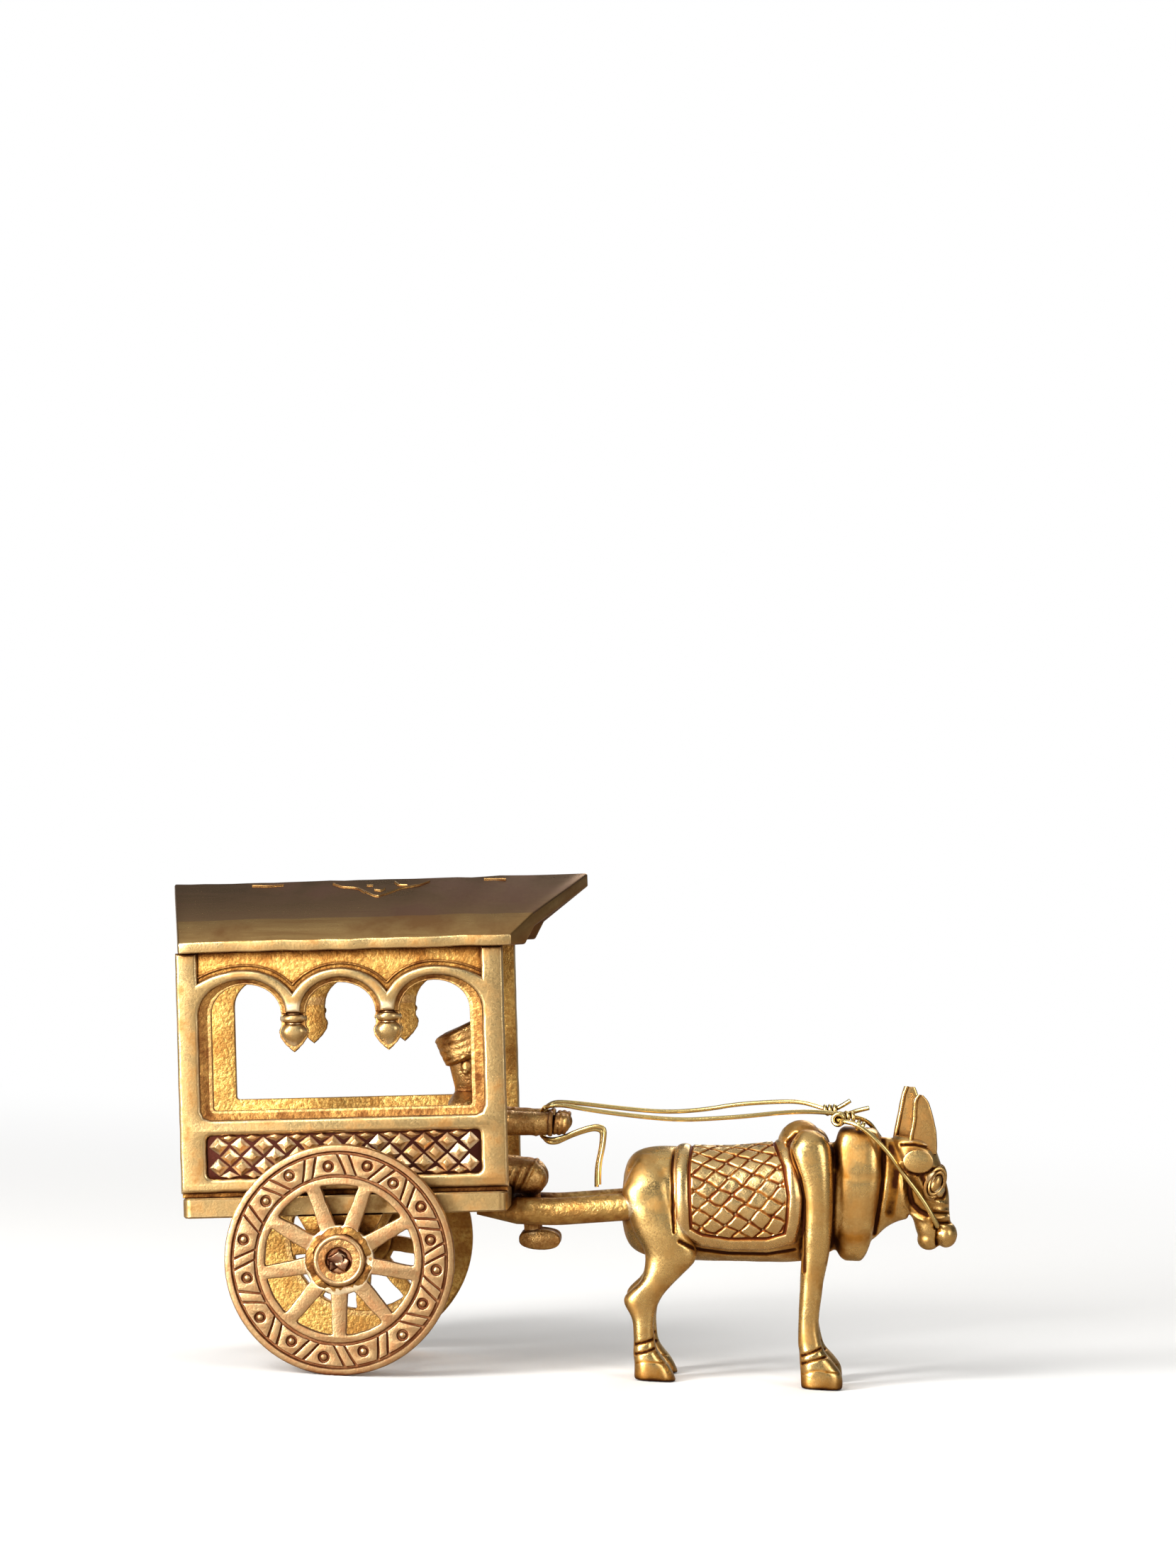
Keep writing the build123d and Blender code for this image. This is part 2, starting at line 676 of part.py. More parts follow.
with BuildPart() as bullock:
    for x, low, high, half in barrel_sections:
        with BuildSketch(Plane.YZ.offset(x)):
            with Locations((0, (low + high) / 2)):
                Ellipse(half, (high - low) / 2)
    loft()
    add(cloth.part)
    for z, behind, before, half, corner in flap_sections:
        with BuildSketch(Plane.XY.offset(z)):
            with Locations(((behind + before) / 2, 0)):
                RectangleRounded(before - behind, 2 * half, corner)
    loft()
    for x, low, high, half in neck_sections:
        with BuildSketch(Plane.YZ.offset(x)):
            with Locations((0, (low + high) / 2)):
                Ellipse(half, (high - low) / 2)
    loft()
    for z, behind, before, half in skull_sections:
        with BuildSketch(Plane.XY.offset(z)):
            with Locations(((behind + before) / 2, 0)):
                Ellipse((before - behind) / 2, half)
    loft()
    with Locations((hump_x, 0, hump_z)):
        Sphere(hump_r)
    for side in (-1, 1):
        for sections in (hind_leg_sections, fore_leg_sections):
            for z, behind, before, middle, half in sections:
                with BuildSketch(Plane.XY.offset(z)):
                    with Locations(((behind + before) / 2, side * middle)):
                        Ellipse((before - behind) / 2, half)
            loft()
        for behind, before, top_behind, top_before, half, top_half in hoof_outlines:
            for z, back, front, wide in (
                (0, behind, before, half),
                (hoof_height, top_behind, top_before, top_half),
            ):
                with BuildSketch(Plane.XY.offset(z)):
                    with Locations(((back + front) / 2, side * fore_leg_sections[-1][3])):
                        RectangleRounded(front - back, 2 * wide, hoof_corner_r)
            loft()
        # Eye with its lid, on the flat of the cheek
        eye_face = Plane(
            origin=(eye_x, side * eye_y, eye_z),
            x_dir=(0.42, -side * 0.21, -0.88),
            z_dir=(0.45, side * 0.9, 0),
        )
        with BuildSketch(eye_face):
            Ellipse(eye_length, eye_height)
            Ellipse(eye_length - eye_lid, eye_height - eye_lid, mode=Mode.SUBTRACT)
            Ellipse(eye_length - 1.6 * eye_lid, eye_height - 1.2 * eye_lid)
        extrude(amount=eye_reach)
        with BuildSketch(Plane.XZ):
            with Locations((ear_x, ear_z)):
                Ellipse(ear_length / 2, ear_height / 2)
        extrude(amount=-side * ear_reach)
    for side, sections in ((-1, horn_right_sections), (1, horn_left_sections)):
        for z, behind, before, middle, half in sections:
            with BuildSketch(Plane.XY.offset(z)):
                with Locations(((behind + before) / 2, side * middle)):
                    Ellipse((before - behind) / 2, half)
        loft()
    for x, z, r in ((upper_lip_x, upper_lip_z, upper_lip_r), (lower_lip_x, lower_lip_z, lower_lip_r)):
        with Locations((x, 0, z)):
            Sphere(r)
    add(shaft_right.part, mode=Mode.SUBTRACT)
    add(shaft_left.part, mode=Mode.SUBTRACT)
    add(nose_wire.part, mode=Mode.SUBTRACT)
bullock.part.label = "bullock"
export_step(bullock.part, "parts/bullock.step")
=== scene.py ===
# Cast brass miniature bullock cart: camera, light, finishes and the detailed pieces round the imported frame.
# Shapes are drawn in millimetres and brought to metres when each piece is finished.
import random
from functools import partial
from math import acos, asin, atan2, cos, degrees, pi, radians, sin, sqrt

import bmesh
import bpy
from mathutils import Matrix, Vector, kdtree, noise


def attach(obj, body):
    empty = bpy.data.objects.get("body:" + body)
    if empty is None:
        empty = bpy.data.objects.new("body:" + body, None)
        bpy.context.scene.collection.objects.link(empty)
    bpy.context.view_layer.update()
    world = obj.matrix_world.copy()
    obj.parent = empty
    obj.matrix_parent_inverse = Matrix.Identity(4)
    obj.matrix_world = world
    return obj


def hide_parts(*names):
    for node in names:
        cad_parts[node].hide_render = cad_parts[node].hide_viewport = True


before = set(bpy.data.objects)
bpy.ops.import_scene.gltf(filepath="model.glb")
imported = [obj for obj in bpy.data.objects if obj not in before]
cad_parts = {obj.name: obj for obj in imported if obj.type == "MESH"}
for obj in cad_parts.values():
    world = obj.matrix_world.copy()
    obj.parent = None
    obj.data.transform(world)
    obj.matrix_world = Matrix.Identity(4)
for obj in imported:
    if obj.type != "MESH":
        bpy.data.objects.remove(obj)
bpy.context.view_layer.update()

scene = bpy.context.scene
random.seed(7)
noise.seed_set(7)        # noise_vector follows the clock without it


def drop(mesh):
    bpy.data.meshes.remove(mesh)


def meshOf(name, shape):
    mesh = bpy.data.meshes.new(name)
    shape.to_mesh(mesh)
    shape.free()
    return mesh


def placed(name, data):
    holder = bpy.data.objects.new(name, data)
    scene.collection.objects.link(holder)
    return holder


def rotation(angle, axis):
    return Matrix.Rotation(radians(angle), 4, axis)


def moved(shape, matrix):
    bmesh.ops.transform(shape, matrix=matrix, verts=shape.verts)
    return shape


def lifted(shape, height):
    bmesh.ops.translate(shape, vec=(0, 0, height), verts=shape.verts)
    return shape


def addPart(target, part, slotIndex=0, matrix=None, openSheet=False):
    bmesh.ops.remove_doubles(part, verts=part.verts, dist=0.0005)
    if not openSheet:
        bmesh.ops.recalc_face_normals(part, faces=part.faces)
    if matrix is not None:
        moved(part, matrix)
        if matrix.determinant() < 0:
            bmesh.ops.reverse_faces(part, faces=part.faces)
    for face in part.faces:
        face.material_index = slotIndex
    mesh = meshOf("part", part)
    target.from_mesh(mesh)
    drop(mesh)


def finishPiece(name, shape, materials, body, replaced=(), smoothAngle=35):
    bmesh.ops.scale(shape, vec=(0.001, 0.001, 0.001), verts=shape.verts)
    mesh = meshOf(name, shape)
    for material in materials:
        mesh.materials.append(material)
    mesh.shade_smooth()
    mesh.set_sharp_from_angle(angle=radians(smoothAngle))
    piece = placed(name, mesh)
    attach(piece, body)
    if replaced:
        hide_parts(*replaced)


def meshFromObject(holder):
    graph = bpy.context.evaluated_depsgraph_get()
    mesh = bpy.data.meshes.new_from_object(holder.evaluated_get(graph))
    data = holder.data
    bpy.data.objects.remove(holder)
    if isinstance(data, bpy.types.Mesh):
        drop(data)
    else:
        bpy.data.curves.remove(data)
    shape = bmesh.new()
    shape.from_mesh(mesh)
    drop(mesh)
    return shape


def plate(outlines, thick, edge, steps=2):
    # A flat casting with rounded edges: its face at z = 0, its back at -thick
    curve = bpy.data.curves.new("plate", "CURVE")
    curve.dimensions = "2D"
    curve.fill_mode = "BOTH"
    curve.extrude = thick / 2 - edge
    curve.bevel_depth = edge
    curve.bevel_resolution = steps
    curve.offset = -edge
    for points in outlines:
        spline = curve.splines.new("POLY")
        spline.points.add(len(points) - 1)
        for point, (x, y) in zip(spline.points, points):
            point.co = (x, y, 0, 1)
        spline.use_cyclic_u = True
    return lifted(meshFromObject(placed("plate", curve)), -thick / 2)


def rounded(points, radius, steps=5):
    # Rounds the corners of an outline; a point may carry its own radius
    result = []
    count = len(points)
    for index, point in enumerate(points):
        here = Vector(point[:2])
        before = Vector(points[index - 1][:2]) - here
        after = Vector(points[(index + 1) % count][:2]) - here
        reach = point[2] if len(point) > 2 else radius
        reach = min(reach, before.length * 0.45, after.length * 0.45)
        if reach <= 0.01:
            result.append((here.x, here.y))
            continue
        start = here + before.normalized() * reach
        end = here + after.normalized() * reach
        for step in range(steps):
            t = step / (steps - 1)
            spot = start * (1 - t) ** 2 + here * 2 * t * (1 - t) + end * t ** 2
            result.append((spot.x, spot.y))
    return result


def arc(cx, cy, rx, ry, fromAngle, toAngle, steps):
    turn = (toAngle - fromAngle) / steps
    return [(cx + rx * cos(radians(fromAngle + turn * k)), cy + ry * sin(radians(fromAngle + turn * k)))
            for k in range(steps + 1)]


def turned(profile, steps):
    # Spins a profile of (radius, height) points about Z
    shape = bmesh.new()
    spots = [shape.verts.new((r, 0, z)) for r, z in profile]
    edges = [shape.edges.new(pair) for pair in zip(spots, spots[1:])]
    bmesh.ops.spin(shape, geom=spots + edges, cent=(0, 0, 0), axis=(0, 0, 1), angle=2 * pi, steps=steps,
                   use_merge=True)
    bmesh.ops.remove_doubles(shape, verts=shape.verts, dist=0.0005)
    bmesh.ops.recalc_face_normals(shape, faces=shape.faces)
    return shape


def loft(shape, rings, segments=32, square=1.0):
    # Bridges a run of rings, each (centre, half axis, half axis); square below 1 makes them boxier
    loops = []
    for centre, sideways, upwards in rings:
        ring = bmesh.ops.create_circle(shape, cap_ends=False, radius=1, segments=segments)["verts"]
        for vert in ring:
            c, s = vert.co.x, vert.co.y
            c = abs(c) ** square * (1 if c >= 0 else -1)
            s = abs(s) ** square * (1 if s >= 0 else -1)
            vert.co = Vector(centre) + Vector(sideways) * c + Vector(upwards) * s
        loops.append(ring)
    for first, second in zip(loops, loops[1:]):
        edges = dict.fromkeys(edge for vert in first + second for edge in vert.link_edges
                              if all(v in first for v in edge.verts) or all(v in second for v in edge.verts))
        bmesh.ops.bridge_loops(shape, edges=list(edges))
    shape.faces.new(loops[0])
    shape.faces.new(loops[-1])


def ball(shape, centre, radii, turn=None, segments=20):
    made = bmesh.ops.create_uvsphere(shape, u_segments=segments, v_segments=segments // 2, radius=1)["verts"]
    matrix = Matrix.Translation(centre) @ (turn or Matrix()) @ Matrix.Diagonal((*radii, 1))
    bmesh.ops.transform(shape, matrix=matrix, verts=made)


def roundedCube(edge):
    shape = bmesh.new()
    bmesh.ops.create_cube(shape, size=1)
    bmesh.ops.bevel(shape, geom=shape.edges[:], offset=edge, segments=2, profile=0.5, affect="EDGES",
                    material=-1, clamp_overlap=True)
    return shape


def melted(shape, voxel, smoothing):
    # Welds overlapping solids into one cast skin
    bmesh.ops.recalc_face_normals(shape, faces=shape.faces)
    holder = placed("cast", meshOf("cast", shape))
    weld = holder.modifiers.new("weld", "REMESH")
    weld.mode = "VOXEL"
    weld.voxel_size = voxel
    weld.adaptivity = 0
    ease = holder.modifiers.new("ease", "SMOOTH")
    ease.factor = 0.5
    ease.iterations = smoothing
    return meshFromObject(holder)


def wobbled(points, amount=0.07, pitch=1.6, shift=0.0):
    # Hand-cast outline: long runs are divided and every point strays a little
    result = []
    for index, point in enumerate(points):
        here, following = Vector(point), Vector(points[(index + 1) % len(points)])
        count = max(1, round((following - here).length / pitch))
        for step in range(count):
            spot = here.lerp(following, step / count)
            stray = noise.noise_vector(Vector((spot.x, spot.y, shift)) * 0.55) * amount
            result.append((spot.x + stray.x, spot.y + stray.y))
    return result


def engrave(shape, strokes, step=0.12):
    # Sinks or raises lines drawn on the flanks; a stroke is (points, half width, depth, darkness)
    marks = []
    for points, half, depth, dark in strokes:
        for first, second in zip(points, points[1:]):
            first, second = Vector((*first, 0)), Vector((*second, 0))
            count = max(1, round((second - first).length / step))
            marks += [(first.lerp(second, k / count), half, depth, dark) for k in range(count + 1)]
    tree = kdtree.KDTree(len(marks))
    for index, mark in enumerate(marks):
        tree.insert(mark[0], index)
    tree.balance()
    layer = shape.verts.layers.float.get("engraved") or shape.verts.layers.float.new("engraved")
    shape.normal_update()
    moves = []
    for vert in shape.verts:
        if abs(vert.normal.y) < 0.2:
            continue
        _, index, distance = tree.find((vert.co.x, vert.co.z, 0))
        _, half, depth, dark = marks[index]
        if distance < half:
            share = 0.5 + 0.5 * cos(pi * distance / half)
            share *= min(1, (abs(vert.normal.y) - 0.2) / 0.3)
            moves.append((vert, vert.normal * depth * share, min(1.0, 1.6 * dark * share)))
    for vert, move, dark in moves:
        vert.co -= move
        vert[layer] = max(vert[layer], dark)


def handCast(shape, amount=0.08, scale=0.35):
    # The small unevenness of a hand-finished casting
    for vert in shape.verts:
        vert.co += noise.noise_vector(vert.co * scale) * amount


def wire(points, radius, resolution=3, order=3, steps=5):
    curve = bpy.data.curves.new("wire", "CURVE")
    curve.dimensions = "3D"
    curve.bevel_depth = radius
    curve.bevel_resolution = resolution
    curve.use_fill_caps = True
    spline = curve.splines.new("NURBS")
    spline.points.add(len(points) - 1)
    for point, spot in zip(spline.points, points):
        point.co = (*spot, 1)
    spline.order_u = order
    spline.use_endpoint_u = True
    spline.resolution_u = steps
    return meshFromObject(placed("wire", curve))


def limb(shape, spots, segments=20, facing=(0, 0, 1), square=1.0):
    # A run of rings square to the path; a spot is (place, half width, half height), facing is its upper side
    places = [Vector(spot[0]) for spot in spots]
    rings = []
    for index, (place, wide, tall) in enumerate(spots):
        run = (places[min(index + 1, len(spots) - 1)] - places[max(index - 1, 0)]).normalized()
        aside = run.cross(Vector(facing)).normalized()
        rings.append((place, aside * wide, aside.cross(run).normalized() * tall))
    loft(shape, rings, segments, square)


def ringOf(radius, thick, wide=1.0, stepAngle=45):
    return [(radius + thick * cos(radians(a)), wide * thick * sin(radians(a)))
            for a in range(0, 361, stepAngle)]


def hoop(target, place, radius, thick, turn=None, wide=1.0):
    # A ring of round section, square to X before it is turned
    addPart(target, turned(ringOf(radius, thick, wide), 28), 0,
            Matrix.Translation(place) @ (turn or Matrix()) @ rotation(90, "Y"))


def coil(target, centre, along, radius, turns, pitch, thick, start):
    # A short winding of wire about the direction given
    along = Vector(along).normalized()
    aside = along.orthogonal().normalized()
    over = along.cross(aside)
    spots = []
    for k in range(round(turns * 10) + 1):
        angle = 2 * pi * k / 10 + start
        spots.append(Vector(centre) + along * (pitch * k / 10)
                     + (aside * cos(angle) + over * sin(angle)) * radius)
    addPart(target, wire(spots, thick, 2, 3, 2))


def nodeIn(tree, kind, inputs=None, **settings):
    made = tree.nodes.new(kind)
    for key, value in settings.items():
        setattr(made, key, value)
    for key, value in (inputs or {}).items():
        made.inputs[key].default_value = value
    return made


def mapRange(tree, source, fromMin, fromMax, toMin=0.0, toMax=1.0):
    made = nodeIn(tree, "ShaderNodeMapRange", {"From Min": fromMin, "From Max": fromMax, "To Min": toMin,
                                               "To Max": toMax}, clamp=True)
    tree.links.new(source, made.inputs["Value"])
    return made.outputs["Result"]


def mathOf(tree, operation, first, second):
    made = nodeIn(tree, "ShaderNodeMath", operation=operation, use_clamp=True)
    for index, value in enumerate((first, second)):
        if isinstance(value, (int, float)):
            made.inputs[index].default_value = value
        else:
            tree.links.new(value, made.inputs[index])
    return made.outputs[0]


def mixColours(tree, factor, first, second):
    made = nodeIn(tree, "ShaderNodeMix", data_type="RGBA")
    for name, value in (("Factor", factor), ("A", first), ("B", second)):
        sockets = [s for s in made.inputs if s.name == name and s.enabled]
        if isinstance(value, (int, float, tuple)):
            sockets[0].default_value = value
        else:
            tree.links.new(value, sockets[0])
    return [s for s in made.outputs if s.enabled][0]


def agedBrassGroup():
    # Cast brass: bright on the high points, where edge wear and a painted highlight lighten it; brown and
    # then red-black in the recesses, patina together with painted shade from occlusion
    group = bpy.data.node_groups.new("agedBrass", "ShaderNodeTree")
    wanted = (
        ("Polished", "NodeSocketColor", (0.72, 0.54, 0.26, 1)),
        ("Worn Edge Highlight", "NodeSocketColor", (0.98, 0.86, 0.58, 1)),
        ("Aged", "NodeSocketColor", (0.42, 0.17, 0.045, 1)),
        ("Groove", "NodeSocketColor", (0.05, 0.012, 0.004, 1)),
        ("Recess Reach", "NodeSocketFloat", 0.0012),
        ("Edge Reach", "NodeSocketFloat", 0.0004),
        ("Edge Wear", "NodeSocketFloat", 0.6),
        ("Age", "NodeSocketFloat", 0.35),
        ("Cloud Scale", "NodeSocketFloat", 220.0),
        ("Grain Scale", "NodeSocketFloat", 2600.0),
        ("Grain", "NodeSocketFloat", 0.5),
        ("Streak", "NodeSocketFloat", 0.25),
        ("Smooth Roughness", "NodeSocketFloat", 0.3),
        ("Rough Roughness", "NodeSocketFloat", 0.6),
    )
    for name, kind, value in wanted:
        group.interface.new_socket(name=name, in_out="INPUT", socket_type=kind).default_value = value
    for name, kind in (("Color", "NodeSocketColor"), ("Roughness", "NodeSocketFloat"),
                       ("Height", "NodeSocketFloat")):
        group.interface.new_socket(name=name, in_out="OUTPUT", socket_type=kind)
    inside = group.nodes.new("NodeGroupInput").outputs
    outside = group.nodes.new("NodeGroupOutput").inputs
    link = group.links.new
    spot = group.nodes.new("ShaderNodeTexCoord").outputs["Object"]

    mapped, mixed = partial(mapRange, group), partial(mixColours, group)
    times, larger = partial(mathOf, group, "MULTIPLY"), partial(mathOf, group, "MAXIMUM")
    cloud = nodeIn(group, "ShaderNodeTexNoise", {"Detail": 5.0, "Roughness": 0.62})
    grain = nodeIn(group, "ShaderNodeTexNoise", {"Detail": 3.0, "Roughness": 0.55})
    pits = nodeIn(group, "ShaderNodeTexVoronoi", {"Scale": 620.0, "Randomness": 1.0})
    drawn = nodeIn(group, "ShaderNodeMapping", {"Scale": (0.05, 1.0, 1.0)})
    for texture in (cloud, grain, pits, drawn):
        link(spot, texture.inputs["Vector"])
    link(inside["Cloud Scale"], cloud.inputs["Scale"])
    link(inside["Grain Scale"], grain.inputs["Scale"])
    brushed = nodeIn(group, "ShaderNodeTexNoise", {"Scale": 900.0, "Detail": 4.0, "Roughness": 0.6})
    link(drawn.outputs["Vector"], brushed.inputs["Vector"])
    clouds, grains = cloud.outputs["Fac"], grain.outputs["Fac"]
    streak = times(mapped(brushed.outputs["Fac"], 0.4, 0.72), inside["Streak"])
    hollow = nodeIn(group, "ShaderNodeAmbientOcclusion", samples=6)
    link(inside["Recess Reach"], hollow.inputs["Distance"])
    ridge = nodeIn(group, "ShaderNodeAmbientOcclusion", samples=6, inside=True)
    link(inside["Edge Reach"], ridge.inputs["Distance"])
    cut = nodeIn(group, "ShaderNodeAttribute", attribute_name="engraved")
    engraved = times(cut.outputs["Fac"], mapped(clouds, 0.32, 0.62, 0.75, 1.5))

    uneven = mapped(clouds, 0.3, 0.7, -0.22, 0.22)
    # Occlusion darkens the surface brown and then black: patina in the hollows, and painted shade under
    # things and between parts, near the floor too
    occludedShade = mapped(hollow.outputs["AO"], 0.96, 0.45)
    patinaAndShade = mathOf(group, "ADD", occludedShade, uneven)
    patinaAndShade = larger(times(patinaAndShade, mapped(occludedShade, 0.0, 0.12)), engraved)
    brownPatinaShade = mapped(patinaAndShade, 0.08, 0.5)
    blackPatinaShade = mapped(patinaAndShade, 0.45, 0.95)
    stain = times(mapped(clouds, 0.42, 0.62), inside["Age"])
    pit = times(times(mapped(pits.outputs["Distance"], 0.2, 0.07), 0.8), mapped(clouds, 0.35, 0.6))
    stain = larger(larger(stain, pit), times(streak, 0.8))
    # Edges found by inside occlusion take the bright edge colour: real wear, and a painted highlight along
    # every edge
    wearAndHighlight = times(mapped(ridge.outputs["AO"], 0.8, 0.35), inside["Edge Wear"])
    grainShade = times(mapped(grains, 0.35, 0.7), inside["Grain"])
    colour = mixed(stain, inside["Polished"], inside["Aged"])
    colour = mixed(times(grainShade, 0.6), colour, inside["Aged"])
    colour = mixed(wearAndHighlight, colour, inside["Worn Edge Highlight"])
    colour = mixed(brownPatinaShade, colour, inside["Aged"])
    link(mixed(blackPatinaShade, colour, inside["Groove"]), outside["Color"])

    roughMix = nodeIn(group, "ShaderNodeMix", data_type="FLOAT")
    for index, socket in ((0, larger(larger(brownPatinaShade, stain), grainShade)), (2, inside["Smooth Roughness"]),
                          (3, inside["Rough Roughness"])):
        link(socket, roughMix.inputs[index])
    link(roughMix.outputs[0], outside["Roughness"])
    link(mathOf(group, "ADD", times(grains, inside["Grain"]), times(clouds, 0.3)), outside["Height"])
    return group


agedBrass = agedBrassGroup()


def shaderOf(material):
    material.use_nodes = True
    return next(n for n in material.node_tree.nodes if n.type == "BSDF_PRINCIPLED")


def brassFinish(name, polished, aged, age, grain, smooth, bump=0.00006, **values):
    material = bpy.data.materials.new(name)
    shader = shaderOf(material)
    tree = material.node_tree
    shader.inputs["Metallic"].default_value = 1.0
    group = tree.nodes.new("ShaderNodeGroup")
    group.node_tree = agedBrass
    values.update(Polished=polished, Aged=aged, Age=age, Grain=grain, Smooth_Roughness=smooth)
    for key, value in values.items():
        socket = group.inputs[key.replace("_", " ")]
        socket.default_value = (*value, 1) if isinstance(value, tuple) else value
    relief = nodeIn(tree, "ShaderNodeBump", {"Strength": 1.0, "Distance": bump})
    for socket, entry in ((group.outputs["Height"], relief.inputs["Height"]),
                          (group.outputs["Color"], shader.inputs["Base Color"]),
                          (group.outputs["Roughness"], shader.inputs["Roughness"]),
                          (relief.outputs["Normal"], shader.inputs["Normal"])):
        tree.links.new(socket, entry)
    return material


# Each finish: polished colour, aged colour, age, grain, roughness where smooth; then what differs from
# the group's own values
polishedBrass = brassFinish("polishedBrass", (0.64, 0.455, 0.20), (0.30, 0.145, 0.04), 0.85, 0.42, 0.25,
                            Cloud_Scale=210.0, Recess_Reach=0.0021, Edge_Reach=0.0008, Edge_Wear=0.6)
studBrass = brassFinish("studBrass", (0.78, 0.54, 0.25), (0.34, 0.12, 0.035), 0.6, 0.55, 0.22,
                        Recess_Reach=0.0009, Cloud_Scale=420.0)
# Near-black floor of the stud lattice: patina, and painted shade in the gaps between the studs
studGapPatinaShade = brassFinish("studGapPatinaAndShade", (0.05, 0.014, 0.009), (0.03, 0.008, 0.005), 0.5, 0.6, 0.55,
                        Edge_Wear=0.0)
sandBrass = brassFinish("sandCastBrass", (0.70, 0.45, 0.13), (0.32, 0.12, 0.02), 0.6, 1.0, 0.45, bump=0.00022,
                        Grain_Scale=1500.0, Rough_Roughness=0.7, Edge_Wear=0.1, Recess_Reach=0.003)
darkBrass = brassFinish("darkPatinaBrass", (0.42, 0.22, 0.06), (0.12, 0.038, 0.01), 0.95, 0.9, 0.42,
                        bump=0.00018, Grain_Scale=1500.0, Rough_Roughness=0.68, Edge_Wear=0.0)
wheelBrass = brassFinish("wheelBrass", (0.60, 0.40, 0.195), (0.32, 0.135, 0.05), 0.7, 0.55, 0.32,
                         bump=0.00008, Groove=(0.13, 0.032, 0.012), Recess_Reach=0.0011, Cloud_Scale=420.0)
hubBrass = brassFinish("hubBrass", (0.56, 0.34, 0.13), (0.25, 0.085, 0.022), 0.9, 0.95, 0.4, bump=0.00022,
                       Grain_Scale=1300.0, Rough_Roughness=0.68, Edge_Wear=0.0)
roofBrass = brassFinish("roofBrass", (0.36, 0.215, 0.10), (0.19, 0.095, 0.055), 0.85, 0.2, 0.25, bump=0.00005,
                        Cloud_Scale=70.0, Streak=0.8, Rough_Roughness=0.45)
# A lighter copy of the roof finish, a painted reflection of the horizon on the lower slope; the raised lines
# on the roof use it too
roofLowerSlopeSheen = brassFinish("roofLowerSlopePaintedSheen", (0.50, 0.31, 0.115), (0.27, 0.125, 0.04), 0.85, 0.25, 0.24,
                        bump=0.00005, Cloud_Scale=70.0, Streak=0.8, Rough_Roughness=0.42, Edge_Wear=0.0)
headBrass = brassFinish("headBrass", (0.76, 0.50, 0.19), (0.36, 0.15, 0.03), 0.6, 0.45, 0.2,
                        Groove=(0.045, 0.012, 0.004), Cloud_Scale=400.0, Recess_Reach=0.0016, Edge_Wear=0.0)
bullockBrass = brassFinish("bullockBrass", (0.80, 0.55, 0.215), (0.40, 0.17, 0.025), 0.62, 0.42, 0.2,
                           Groove=(0.045, 0.012, 0.004), Cloud_Scale=260.0, Recess_Reach=0.0045)
clothBrass = brassFinish("saddleBrass", (0.84, 0.60, 0.27), (0.42, 0.175, 0.03), 0.35, 0.4, 0.2,
                         Groove=(0.12, 0.026, 0.008), Cloud_Scale=300.0, Recess_Reach=0.0006)
shaftBrass = brassFinish("shaftBrass", (0.68, 0.43, 0.14), (0.28, 0.11, 0.02), 0.7, 0.8, 0.3, bump=0.0003,
                         Grain_Scale=900.0, Cloud_Scale=300.0, Recess_Reach=0.004)
driverBrass = brassFinish("driverBrass", (0.60, 0.37, 0.13), (0.25, 0.09, 0.02), 0.7, 0.7, 0.24, bump=0.0002,
                          Cloud_Scale=330.0, Recess_Reach=0.002, Edge_Wear=0.25)
rivetBrass = brassFinish("rivetBrass", (0.42, 0.22, 0.12), (0.09, 0.022, 0.012), 0.9, 0.5, 0.22,
                         Edge_Wear=0.2)
wireBrass = brassFinish("brassWire", (0.82, 0.63, 0.25), (0.34, 0.19, 0.05), 0.2, 0.15, 0.2, bump=0.00002,
                        Edge_Wear=0.1, Recess_Reach=0.0005)
for name, material in (("floor_plate", polishedBrass), ("axle_bracket_right", sandBrass),
                       ("axle_bracket_left", sandBrass), ("shaft_right", shaftBrass),
                       ("shaft_left", shaftBrass)):
    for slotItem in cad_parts[name].material_slots:
        slotItem.material = material
print("finishes made")


view = {"place": (0.042335, -0.8585, 0.102232), "turn": (1.575209, -0.045586, 0.046814),
        "focal": 109.37, "frameHeight": 36.0}
cameraData = bpy.data.cameras.new("camera")
cameraData.lens = view["focal"]
cameraData.sensor_fit = "VERTICAL"
cameraData.sensor_height = view["frameHeight"]
cameraData.clip_start = 0.01
camera = placed("camera", cameraData)
camera.location = view["place"]
camera.rotation_euler = view["turn"]
scene.camera = camera

studio = {"floorSize": 8.0, "floorColour": (0.80, 0.79, 0.77, 1), "fadeFrom": 0.14, "fadeTo": 0.75,
          "worldLevel": 0.38, "horizon": 0.72, "dusk": 0.14, "zenith": 0.9, "rightSide": 0.35,
          "mirroredFloor": (0.30, 0.24, 0.18, 1)}
lamps = (
    # name, place, width, height, power
    ("keyLamp", (-0.45, -0.75, 0.75), 0.5, 0.5, 8.5),
    ("stripLamp", (-0.50, -0.62, 0.23), 0.16, 0.44, 12.0),
    ("fillLamp", (0.65, -0.60, 0.40), 0.40, 0.6, 3.0),
    ("backLamp", (0.25, 0.75, 0.60), 0.5, 0.5, 3.0),
)
for name, place, width, height, power in lamps:
    lampData = bpy.data.lights.new(name, "AREA")
    lampData.shape = "RECTANGLE"
    lampData.size = width
    lampData.size_y = height
    lampData.energy = power
    lamp = placed(name, lampData)
    lamp.location = place
    lamp.rotation_euler = (Vector((0, 0, 0.04)) - Vector(place)).to_track_quat("-Z", "Y").to_euler()

